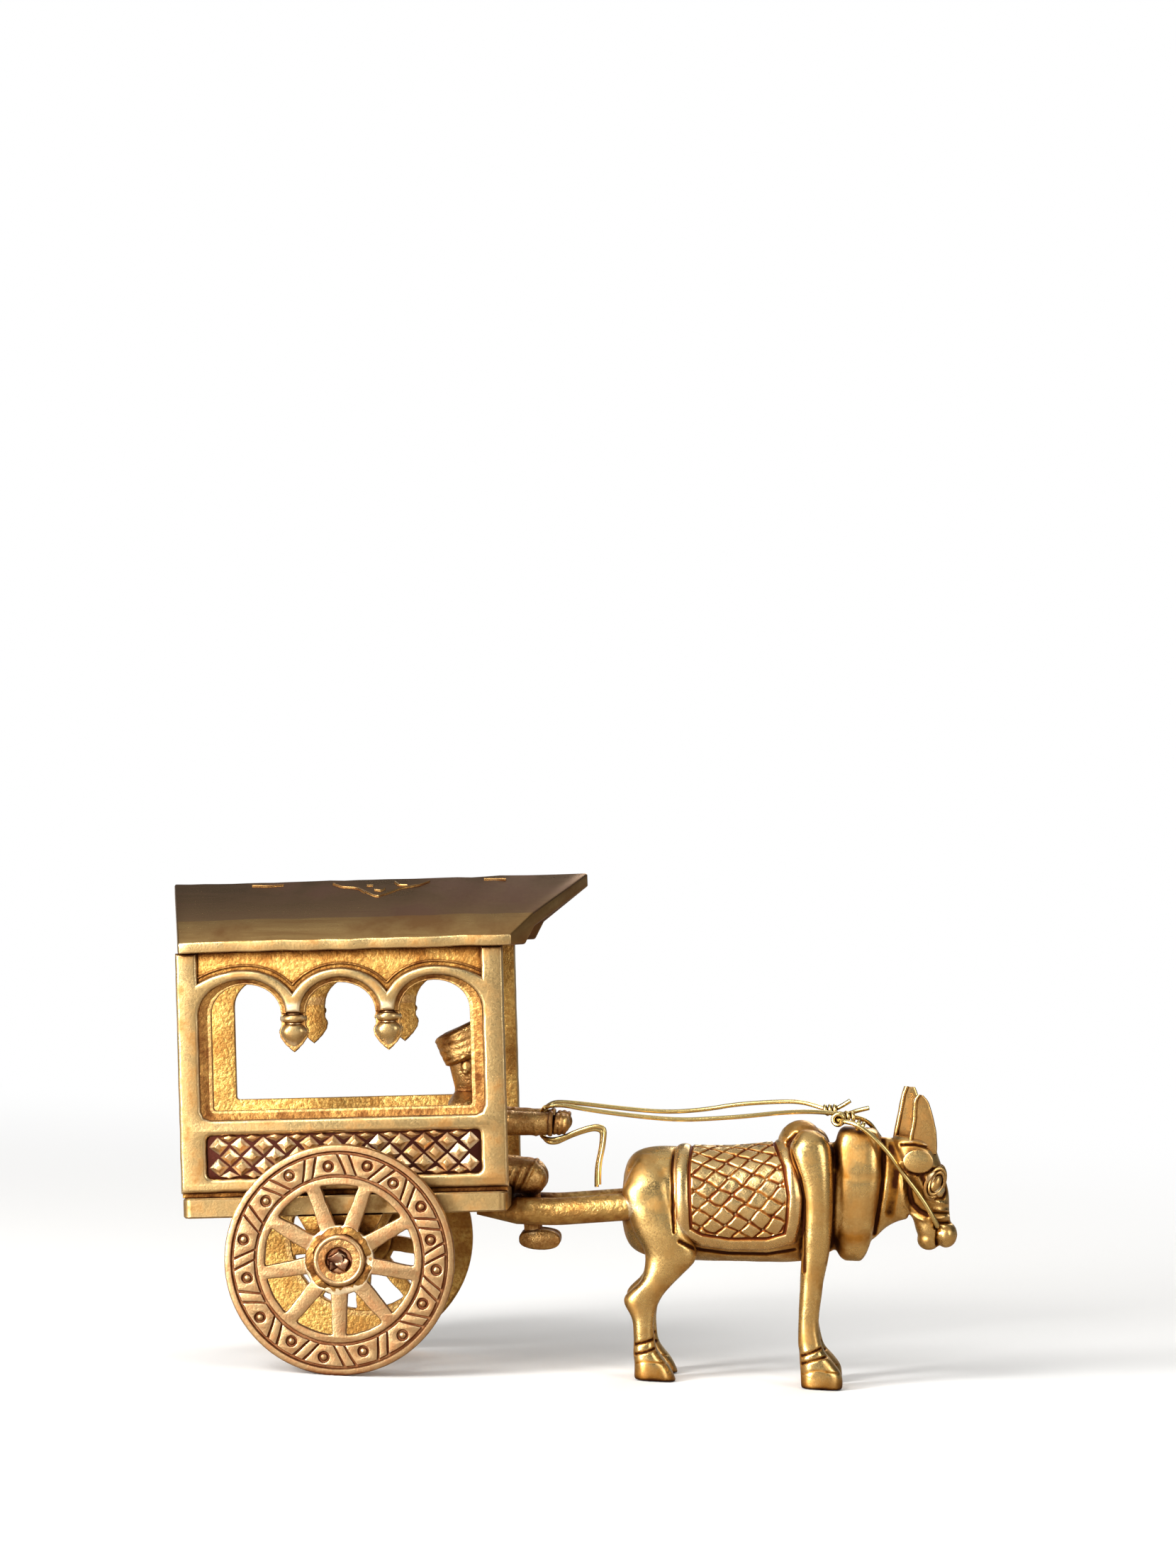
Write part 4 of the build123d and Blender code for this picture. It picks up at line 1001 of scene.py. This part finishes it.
foreRings = (
    # z, x behind, x in front, distance from the middle, half width
    (45.9, 43.2, 45.8, 5.0, 1.8), (44.8, 42.2, 47.6, 5.6, 2.9), (42.6, 41.2, 48.6, 6.1, 3.4),
    (39.0, 42.2, 49.1, 6.3, 3.5), (34.0, 43.8, 49.3, 6.3, 3.35), (26.0, 44.2, 49.3, 6.3, 2.9),
    (19.2, 44.2, 48.4, 6.3, 2.2), (12.0, 44.2, 47.8, 6.3, 1.95), (8.2, 44.3, 48.5, 6.3, 2.0),
    (6.4, 44.6, 49.3, 6.3, 2.25), (5.0, 44.7, 50.6, 6.3, 2.5), (2.8, 45.0, 52.3, 6.3, 2.8),
    (0.15, 45.2, 52.6, 6.3, 2.9),
)
bullockLumps = (
    # centre and half sizes of the front of the hump, the muzzle and the chin
    ((43.2, 0, 43.0), (4.2, 4.4, 4.4)), ((69.95, 0, 28.1), (2.05, 2.7, 2.4)),
    ((66.9, 0, 27.1), (2.1, 2.3, 2.0)),
)
bullockStrokes = (
    # points on the flank, half width, depth, darkness
    (((42.3, 45.0), (40.8, 43.4), (41.6, 41.2), (43.2, 37.6), (44.0, 33.6), (44.2, 29.0), (44.3, 25.0),
      (44.6, 21.0)), 0.6, 0.5, 1.0),
    (((49.0, 43.0), (49.5, 39.8), (49.6, 33.0), (49.7, 26.2), (49.0, 22.4)), 0.6, 0.5, 1.0),
    (((22.4, 25.3), (26.0, 23.6), (31.2, 23.1), (38.0, 23.3), (43.0, 24.4)), 0.55, 0.3, 0.95),
    (((20.6, 42.0), (20.4, 38.4), (20.9, 32.0), (21.4, 26.8)), 0.45, 0.35, 1.0),
    (((58.0, 44.6), (58.2, 41.6), (58.3, 38.0), (58.0, 34.3), (57.2, 27.6)), 0.6, 0.4, 1.0),
    (((14.6, 6.3), (17.0, 6.9), (19.6, 7.9)), 0.4, 0.3, 1.0),
    (((14.7, 4.6), (17.4, 5.3), (20.3, 6.5)), 0.4, 0.3, 1.0),
    (((44.5, 5.7), (46.8, 6.6), (49.4, 7.9)), 0.4, 0.3, 1.0),
    (((44.5, 4.3), (47.0, 5.2), (50.6, 6.4)), 0.4, 0.3, 1.0),
    (((15.0, 2.9), (17.0, 3.6), (20.9, 3.4)), 0.3, 0.1, 0.4),
    (((45.2, 2.6), (47.6, 3.5), (51.6, 3.2)), 0.3, 0.1, 0.4),
    (((61.6, 38.4), (61.8, 36.3), (62.2, 33.3), (63.4, 31.8), (64.8, 31.0), (66.0, 30.6)), 0.45, -0.35, 0.0),
    (((62.7, 37.6), (63.0, 35.2), (63.6, 33.4), (65.0, 32.2), (66.6, 31.6)), 0.8, 0.5, 1.0),
    (((64.0, 38.9), (65.0, 36.9), (66.4, 35.0), (67.7, 34.2), (70.3, 33.6)), 0.35, -0.25, 0.1),
    (((64.6, 39.2), (65.5, 37.6), (66.5, 35.9), (67.9, 34.9)), 0.5, 0.5, 1.0),
    (((67.1, 31.2), (69.0, 31.3), (71.2, 31.6)), 0.42, -0.35, 0.0),
    (((67.2, 32.9), (69.0, 32.6), (70.9, 32.6)), 0.38, -0.28, 0.05),
    (((67.0, 32.1), (69.0, 32.0), (71.2, 32.1)), 0.3, 0.3, 1.0),
    (((67.6, 30.3), (69.4, 30.3), (71.2, 30.5)), 0.45, 0.4, 1.0),
    (((68.1, 29.9), (68.4, 29.0)), 0.8, 0.9, 1.0),
    (((68.3, 28.9), (68.2, 27.4), (68.6, 25.6)), 0.4, 0.55, 1.0),
    (((61.0, 44.0), (63.6, 44.2), (66.8, 43.6)), 0.4, 0.3, 1.0),
    (((61.2, 40.2), (62.4, 39.2), (64.6, 38.9), (66.8, 39.7)), 0.45, 0.35, 0.9),
    (((59.3, 43.4), (60.6, 40.0), (60.2, 36.0), (59.6, 32.0)), 2.0, 0.1, 0.5),
    (((69.1, 34.7), (69.8, 36.1), (69.3, 38.3), (67.8, 39.9), (66.2, 40.1), (65.3, 38.7), (65.8, 36.4),
      (67.3, 34.8), (69.1, 34.7)), 0.5, 0.4, 1.0),
    (((50.4, 38.4), (53.5, 37.6), (57.2, 38.2)), 1.6, 0.05, 0.22),
    (((51.0, 27.6), (53.6, 26.4), (55.8, 27.4)), 2.2, 0.08, 0.25),
)


def alongX(rows):
    return [((x, 0, (low + high) / 2), (0, half, 0), (0, 0, (high - low) / 2)) for x, low, high, half in rows]


def alongZ(rows, side=0):
    # A leg's rows have its distance from the middle before the half width
    return [(((behind + before) / 2, side * mid[0] if mid else 0, z), ((before - behind) / 2, 0, 0),
             (0, half, 0)) for z, behind, before, *mid, half in rows]


def between(table, at):
    # Straight-line reading of a table of (place, value) pairs sorted by place
    rows = sorted(table)
    if at <= rows[0][0]:
        return rows[0][1]
    for (a, first), (b, second) in zip(rows, rows[1:]):
        if at <= b:
            return first + (second - first) * (at - a) / (b - a)
    return rows[-1][1]


def eased(rows, steps=4):
    # Extra rows between the given ones, on a smooth curve through them
    result = []
    for index in range(len(rows) - 1):
        before, here = rows[max(index - 1, 0)], rows[index]
        following, after = rows[index + 1], rows[min(index + 2, len(rows) - 1)]
        for step in range(steps):
            t = step / steps
            result.append(tuple(0.5 * (2 * b + (c - a) * t + (2 * a - 5 * b + 4 * c - d) * t * t
                                       + (3 * b - a - 3 * c + d) * t ** 3)
                                for a, b, c, d in zip(before, here, following, after)))
    return result + [tuple(rows[-1])]


barrelRuns = eased(barrelRings)


def bullockShape():
    shape = bmesh.new()
    loft(shape, alongX(barrelRuns), 60)
    loft(shape, alongZ(eased(dewlapRings)), 48, 0.5)
    loft(shape, alongX(eased(neckRings)), 40)
    loft(shape, alongZ(eased(skullRings)), 40, 0.85)
    for side in (-1, 1):
        loft(shape, alongZ(eased(hindRings), side), 36, 0.78)
        loft(shape, alongZ(eased(foreRings), side), 36, 0.74)
    for centre, radii in bullockLumps:
        ball(shape, centre, radii)
    cast = melted(shape, 0.28, 4)
    handCast(cast, 0.09, 0.3)
    engrave(cast, bullockStrokes)
    return cast


def barrelAt(x):
    return [between([(row[0], row[k]) for row in barrelRuns], x) for k in (1, 2, 3)]


def saddleShape():
    # The cloth is a grid laid round the barrel, with its border and its crossed lines pressed into it
    s = saddle
    shape = bmesh.new()
    layer = shape.verts.layers.float.new("engraved")
    bmesh.ops.create_grid(shape, x_segments=s["columns"], y_segments=s["rows"], size=1)
    for vert in shape.verts:
        along, lap = (vert.co.x + 1) / 2, vert.co.y
        x = 21.5 + 21.5 * along
        low, high, half = barrelAt(x)
        for _ in range(3):
            middle, rise = (low + high) / 2, (high - low) / 2
            reach = acos(max(-1, min(1, (between(s["bottom"], x) - middle) / rise)))
            turn = abs(lap) * reach
            z = middle + rise * cos(turn)
            rear, front = between(s["rear"], z), between(s["front"], z)
            x = rear + (front - rear) * along
            low, high, half = barrelAt(x)
        edge = min(x - rear, front - x, s["girth"] * (reach - turn))
        hollow = 0.0
        if edge < s["hem"]:
            lift = s["proud"] * (0.35 + 0.65 * edge / s["hem"])
            hollow = 0.5 * (1 - edge / s["hem"])
        elif edge < s["border"]:
            lift = s["proud"] + s["swell"] * sin(pi * (edge - s["hem"]) / (s["border"] - s["hem"]))
        elif edge < s["border"] + s["groove"]:
            share = sin(pi * (edge - s["border"]) / s["groove"])
            lift = s["field"] - s["cut"] * share
            hollow = min(1.0, 1.5 * share)
        else:
            lift = s["field"]
            wave = noise.noise(Vector((x, z, 3.0)) * 0.5) * s["lineStray"]
            for angle, pitch, sign in s["lines"]:
                slope = radians(angle)
                across = (x * sin(slope) * sign - s["girth"] * turn * cos(slope) + wave) / pitch
                offset = abs(across - round(across)) * pitch
                wide = s["lineHalf"] * (1 + 0.5 * noise.noise(Vector((x, z, 9.0)) * 1.1))
                if offset < wide:
                    share = 0.5 + 0.5 * cos(pi * offset / wide)
                    lift -= s["lineDepth"] * share
                    hollow = max(hollow, s["lineDark"] * share)
        lift += noise.noise(Vector((x, lap * 9, 1.0)) * 0.8) * s["uneven"]
        side = 1 if lap >= 0 else -1
        outward = Vector((0, side * sin(turn) / half, cos(turn) / rise)).normalized()
        vert.co = Vector((x, side * half * sin(turn), z)) + outward * lift
        vert[layer] = hollow
    # The cloth's edge turns in to the hide
    rim = [edge for edge in shape.edges if edge.is_boundary]
    for vert in bmesh.ops.extrude_edge_only(shape, edges=rim)["geom"]:
        if isinstance(vert, bmesh.types.BMVert):
            vert.co = Vector((vert.co.x, vert.co.y * 0.9, 31.5 + (vert.co.z - 31.5) * 0.93))
            vert[layer] = 1.0
    bmesh.ops.recalc_face_normals(shape, faces=shape.faces)
    if sum(face.normal.z * (face.calc_center_median().z - 31) for face in shape.faces) < 0:
        bmesh.ops.reverse_faces(shape, faces=shape.faces)
    return shape


finishPiece("bullockBody", bullockShape(), [bullockBrass], "cart", ["bullock"], 60)
finishPiece("saddleCloth", saddleShape(), [clothBrass], "cart", (), 60)


head = {
    "hornRight": ((62.2, 67.6, 42.6), (62.3, 67.6, 44.2), (62.5, 67.4, 46.2), (62.8, 67.0, 48.2),
                  (62.8, 66.2, 50.6), (62.9, 65.6, 52.0), (63.5, 64.7, 53.0)),
    "hornLeft": ((59.4, 64.4, 42.6), (59.6, 64.5, 44.2), (59.9, 64.6, 46.3), (60.4, 64.4, 49.5),
                 (60.8, 64.0, 52.3), (61.3, 63.3, 54.1)),
    "hornOuter": 2.9, "hornInner": 1.6, "rimProud": 0.35, "rimWidth": 0.75,
    "ear": (64.2, 41.5), "earLength": 2.75, "earHeight": 2.1,
    # sections of the ear: shift back, distance from the middle, what its length and its height lack
    "earRings": ((-0.2, 2.0, 0.45, 0.4), (-0.1, 5.6, 0.25, 0.2), (0, 7.72, 0, 0), (0, 8.04, 0.13, 0.12),
                 (0, 8.12, 0.32, 0.3)),
    "eye": (67.6, 3.2, 37.4), "eyeHalf": (1.75, 0.85, 0.98), "eyeTilt": -62.0, "eyeTurn": 27.0,
    # lids: length, height, how far out, thickness
    "lids": ((2.1, 1.28, 0.28, 0.14), (2.8, 1.72, -0.16, 0.18)),
}


def headShape():
    h = head
    parts = bmesh.new()
    # Horns: upright blades with a raised rim up the rear edge and over the tip
    middle, half = (h["hornOuter"] + h["hornInner"]) / 2, (h["hornOuter"] - h["hornInner"]) / 2
    wide = h["rimWidth"] / 2
    for side, given in ((-1, h["hornRight"]), (1, h["hornLeft"])):
        rows = [(a, b, side * (middle + 0.05 * (z - 44)), z) for a, b, z in eased(given)]
        blade, rim = bmesh.new(), bmesh.new()
        loft(blade, [(((a + b) / 2, y, z), ((b - a) / 2, 0, 0), (0, half, 0)) for a, b, y, z in rows],
             24, 0.42)
        handCast(blade, 0.06, 0.6)
        addPart(parts, blade)
        loft(rim, [((a + wide + 0.1, y, z + 0.1), (wide, 0, 0), (0, half + h["rimProud"], 0))
                   for a, b, y, z in rows], 20, 0.6)
        handCast(rim, 0.08, 0.8)
        addPart(parts, rim)
    x, z = h["ear"]
    for side in (-1, 1):
        # Ear, a stub ground flat at its end
        ear = bmesh.new()
        loft(ear, [((x + back, side * y, z), (h["earLength"] - less, 0, 0), (0, 0, h["earHeight"] - lower))
                   for back, y, less, lower in h["earRings"]], 30)
        addPart(parts, ear, 1)
        # Eye in its upper and lower lids
        place = (Matrix.Translation((h["eye"][0], side * h["eye"][1], h["eye"][2]))
                 @ rotation(-side * h["eyeTurn"], "Z") @ rotation(h["eyeTilt"], "Y"))
        eye = bmesh.new()
        ball(eye, (0, 0, 0), h["eyeHalf"])
        addPart(parts, eye, 0, place)
        for long, tall, reach, thick in h["lids"]:
            lids = turned(ringOf(1, thick, 1.6, 40), 36)
            for vert in lids.verts:
                vert.co.x *= 1 + 0.12 * abs(vert.co.x)  # drawn out to corners
            addPart(parts, lids, 0, place @ Matrix.Translation((0, side * reach, 0))
                    @ Matrix.Diagonal((long / 1.12, 1, tall, 1)) @ rotation(90, "X"))
    return parts


finishPiece("hornsEarsEyes", headShape(), [headBrass, bullockBrass], "cart", (), 40)
print("bullock made")


driver = {
    "torso": ((31.8, -21.5, -11.5, 5.2), (38.0, -21.3, -12.0, 5.0), (44.0, -21.4, -12.2, 6.0),
              (47.6, -20.6, -13.4, 5.4), (49.8, -19.4, -15.0, 2.8)),
    "head": ((48.8, -19.6, -14.8, 2.4), (50.2, -19.6, -13.3, 2.8), (51.2, -19.9, -12.6, 3.2),
             (52.8, -20.4, -12.4, 3.6), (54.6, -20.9, -12.4, 3.8), (56.6, -21.2, -12.8, 3.8),
             (58.0, -20.6, -13.8, 3.2)),
    "features": (  # place, half sizes and lean of each, mirrored when it is off the middle
        ((-12.3, 0, 54.6), (0.55, 0.45, 1.1), -8), ((-11.8, 0, 53.5), (0.75, 0.62, 0.55), 0),
        ((-12.1, 0.5, 53.4), (0.5, 0.38, 0.4), 0), ((-12.5, 1.45, 55.8), (0.5, 1.25, 0.34), 8),
        ((-12.5, 1.45, 54.95), (0.45, 0.8, 0.42), 0), ((-13.0, 1.95, 53.3), (0.95, 1.05, 0.95), 0),
        ((-12.1, 0.95, 52.75), (0.55, 1.15, 0.34), 12), ((-12.25, 0, 52.0), (0.5, 0.85, 0.28), 0),
        ((-12.85, 0, 50.9), (0.85, 1.15, 0.7), 0), ((-17.4, 3.75, 54.3), (0.95, 0.6, 1.2), 0),
        ((-17.6, 4.2, 53.3), (0.5, 0.5, 0.5), 0),
    ),
    "shawl": ((-18.6, 4.4, 48.3), (-16.2, 4.4, 48.3), (-13.9, 3.7, 47.0), (-12.5, 1.8, 44.4),
              (-12.0, -1.0, 41.4), (-12.9, -3.6, 38.6), (-15.4, -5.1, 36.6), (-18.0, -5.2, 35.6)),
    "turban": (-17.6, 58.6), "turbanLean": 27.0, "turbanHalf": 5.2, "wrapPitch": 1.25, "wrapDepth": 0.16,
    "wrapSlant": 0.75, "wrapWave": 0.2,
    # limbs: place, half width and half height of each section
    "arm": (((-17.6, 4.7, 46.6), 2.2, 2.4), ((-13.8, 5.4, 45.0), 2.3, 2.4), ((-9.5, 5.2, 44.6), 2.2, 2.25),
            ((-5.0, 4.8, 44.7), 2.05, 2.15), ((-1.8, 4.4, 44.8), 1.95, 2.05)),
    "thigh": (((-17.0, 3.3, 35.8), 2.8, 3.0), ((-11.0, 3.3, 35.4), 2.8, 3.0),
              ((-5.3, 3.3, 34.9), 2.85, 3.15)),
    "shin": (((-5.3, 2.0, 33.5), 1.55, 1.8), ((-4.7, 2.0, 29.0), 1.5, 1.7), ((-4.1, 1.9, 24.6), 1.45, 1.5)),
    # folds: place along X, lean and radius
    "sleeveFolds": ((-10.6, 14, 2.16), (-9.2, 8, 2.14), (-4.6, -8, 2.02)),
    "kneeFolds": ((-12.2, 12, 2.8), (-10.4, 10, 2.84), (-8.6, 14, 2.9), (-7.0, 18, 3.0), (-5.5, 24, 3.05)),
    "knee": (-5.3, 3.3, 34.7), "handY": 4.2, "armZ": 44.8, "cuff": (-1.8, 4.4),
    "fist": (1.95, 1.8, 1.85), "thumb": (1.2, 0.6, 0.6), "fingers": ((-0.85, 1.62), (0.0, 1.68), (0.85, 1.5)),
    "foot": (-2.9, 23.8), "footHalf": (3.7, 1.8), "footSides": (0.35, 3.5),
}


def driverBody():
    d = driver
    shape = bmesh.new()
    loft(shape, alongZ(d["torso"]), 32, 0.85)
    limb(shape, [(place, 1.75, 0.5) for place in d["shawl"]], 20, (1, 0.2, 0.4), 0.7)
    x, kneeY, kneeZ = d["knee"]
    for side in (-1, 1):
        arm, thigh, shin = ([((x, side * y, z), wide, tall) for (x, y, z), wide, tall in d[key]]
                            for key in ("arm", "thigh", "shin"))
        limb(shape, arm, 24)
        limb(shape, thigh, 24)
        ball(shape, (x, side * kneeY, kneeZ), (3.3, 2.9, 3.2))
        for foldX, lean, reach in d["sleeveFolds"]:
            hoop(shape, (foldX, side * (4.75 - 0.1 * (foldX + 5)), d["armZ"] - 0.15), reach, 0.24,
                 rotation(lean, "Y"))
        for foldX, lean, reach in d["kneeFolds"]:
            hoop(shape, (foldX, side * kneeY, kneeZ + 0.25), reach, 0.34, rotation(lean, "Y"))
        limb(shape, shin, 18, (1, 0, 0))
    return melted(shape, 0.24, 3)


def driverHead():
    d = driver
    shape = bmesh.new()
    loft(shape, alongZ(d["head"]), 32, 0.9)
    for (x, y, z), radii, lean in d["features"]:
        for side in ((-1, 1) if y else (1,)):
            ball(shape, (x, side * y, z), radii, rotation(-side * lean, "X"), 16)
    return melted(shape, 0.15, 2)


def turbanShape():
    # Cloth wound round the head: a leaning drum with slanting grooves between the turns
    d = driver
    half = d["turbanHalf"]
    shape = bmesh.new()
    rows = [(-3.2, 0.70), (-2.9, 0.86), (-2.5, 0.96)] + [(-2.2 + 0.3 * k, 1.0) for k in range(16)]
    rows += [(2.55, 0.97), (2.85, 0.9), (3.0, 0.78), (3.1, 0.5)]
    loft(shape, [((0, 0, z), (half * share * 1.05, 0, 0), (0, half * share * 0.97, 0)) for z, share in rows],
         72, 0.86)
    for vert in shape.verts:
        angle = atan2(vert.co.y, vert.co.x)
        turn = (vert.co.z + d["wrapSlant"] * sin(angle + 0.6)
                + d["wrapWave"] * sin(3 * angle)) / d["wrapPitch"]
        edge = abs(turn - round(turn))
        sunk = max(0.0, 1 - edge / 0.2) * d["wrapDepth"]
        outward = Vector((vert.co.x, vert.co.y, 0))
        if outward.length > half * 0.6:
            vert.co -= outward.normalized() * sunk
    handCast(shape, 0.16, 0.45)
    return shape


def driverShape():
    d = driver
    parts = bmesh.new()
    body = driverBody()
    handCast(body, 0.08, 0.7)
    addPart(parts, body)
    addPart(parts, driverHead())
    addPart(parts, turbanShape(), 0, Matrix.Translation((d["turban"][0], 0, d["turban"][1]))
            @ rotation(-d["turbanLean"], "Y"))
    footX, footZ = d["foot"]
    long, tall = d["footHalf"]
    near, far = d["footSides"]
    handY, armZ = d["handY"], d["armZ"]
    for side in (-1, 1):
        # Cuff, and the fist with its fingers round the rein
        hoop(parts, (d["cuff"][0], side * d["cuff"][1], armZ), 2.0, 0.34, wide=1.3)
        fist = bmesh.new()
        ball(fist, (-0.2, side * handY, armZ), d["fist"])
        for x, reach in d["fingers"]:
            hoop(fist, (x, side * handY, armZ), reach, 0.42, rotation(8, "Y"))
        ball(fist, (0.2, side * 2.9, armZ + 1.3), d["thumb"])
        addPart(parts, melted(fist, 0.14, 4))
        # Foot, a flat slab with rounded edges
        foot = bmesh.new()
        loft(foot, [((footX, side * y, footZ), (long - less, 0, 0), (0, 0, tall - less))
                    for y, less in ((near, 0.35), (near + 0.3, 0), (far - 0.3, 0), (far, 0.35))], 32, 0.8)
        handCast(foot, 0.1, 0.5)
        addPart(parts, foot)
    return parts


finishPiece("driver", driverShape(), [driverBrass], "cart", ["driver"], 50)
print("driver made")


wireRuns = {
    "radius": 0.4,
    "rightRein": ((-3.5, -2.4, 46.8), (-2.9, -3.8, 47.7), (-1.4, -4.1, 48.1), (0.6, -4.0, 48.2),
                  (3.8, -4.0, 47.7), (11.3, -4.0, 47.0), (20.7, -4.0, 46.5), (27.4, -4.0, 47.1),
                  (33.2, -4.0, 47.8), (39.2, -3.5, 48.7), (43.7, -3.0, 49.1), (47.0, -2.6, 49.1),
                  (49.4, -2.2, 48.9), (51.4, -1.4, 48.9), (53.0, -1.0, 49.6), (55.1, -1.5, 50.2)),
    "leftRein": ((-3.5, 2.4, 46.8), (-2.6, 3.8, 47.9), (-0.3, 4.0, 48.4), (10.9, 4.0, 47.6),
                 (19.0, 4.0, 47.3), (26.1, 4.0, 48.2), (31.1, 3.5, 49.4), (38.8, 3.0, 50.3),
                 (43.0, 2.5, 50.5), (46.4, 1.6, 49.7), (48.2, 0.6, 49.3), (49.8, -0.2, 49.9),
                 (51.7, -0.6, 51.3)),
    # from the top of the wrist down its inner side and out below the hand
    "tail": ((-2.9, 3.8, 47.7), (-3.6, 2.2, 46.9), (-4.0, 1.5, 44.8), (-3.6, 2.0, 42.7), (-2.8, 3.6, 42.0),
             (-1.1, 4.1, 41.9), (0.8, 4.1, 42.5), (2.7, 4.1, 43.5), (5.3, 4.1, 44.5), (6.8, 4.1, 44.8),
             (7.9, 4.1, 44.4), (8.0, 4.1, 43.2), (7.8, 4.1, 40.8), (7.2, 4.1, 37.6), (7.4, 4.1, 34.3)),
    "nose": ((68.3, 0, 29.6), (68.3, -3.4, 29.6), (68.0, -4.3, 30.4), (65.3, -5.0, 34.7), (61.4, -5.5, 39.3),
             (59.2, -6.0, 42.3), (57.1, -6.0, 44.4), (54.6, -5.5, 46.5), (52.4, -5.0, 47.6),
             (49.6, -3.5, 47.8), (49.2, -1.5, 48.3), (51.9, 0, 48.6), (55.3, 3.0, 47.5), (56.8, 4.8, 45.3),
             (59.2, 6.0, 42.3), (61.4, 5.5, 39.3), (65.3, 5.0, 34.7), (68.0, 4.3, 30.4), (68.3, 3.4, 29.6),
             (68.3, 0, 29.6)),
    # windings that tie the reins on: side, centre, direction, radius, turns, pitch, thickness, first angle
    "windings": ((-1, (49.5, -4.0, 47.9), (0.3, 1, 0.16), 1.0, 2.6, 0.85, 0.38, 0.6),
                 (-1, (50.3, -2.3, 48.5), (1, 0.3, -0.1), 0.8, 2.4, 0.95, 0.38, 2.0),
                 (-1, (53.2, -4.4, 47.3), (1, -0.25, -0.5), 0.72, 1.3, 0.9, 0.38, 1.0),
                 (1, (47.2, 0.6, 49.3), (1, -0.3, 0.1), 0.74, 2.6, 0.9, 0.38, 0.0)),
}
for side, name, run, node, shift in ((-1, "reinRight", "rightRein", "rein_right", (0, 0)),
                                     (1, "reinLeft", "leftRein", "rein_left", (-0.75, -1.1))):
    wires = bmesh.new()
    addPart(wires, wire(wireRuns[run], wireRuns["radius"]))
    tail = [(x + (shift[0] if x > 0 else 0), side * y, z + (shift[1] if x > -3 else 0))
            for x, y, z in wireRuns["tail"]]
    addPart(wires, wire(tail, wireRuns["radius"]))
    for where, *winding in wireRuns["windings"]:
        if where == side:
            coil(wires, *winding)
    finishPiece(name, wires, [wireBrass], "cart", [node], 60)
wires = bmesh.new()
addPart(wires, wire(wireRuns["nose"], wireRuns["radius"] + 0.02))
finishPiece("noseWire", wires, [wireBrass], "cart", ["nose_wire"], 60)
print("wires made")
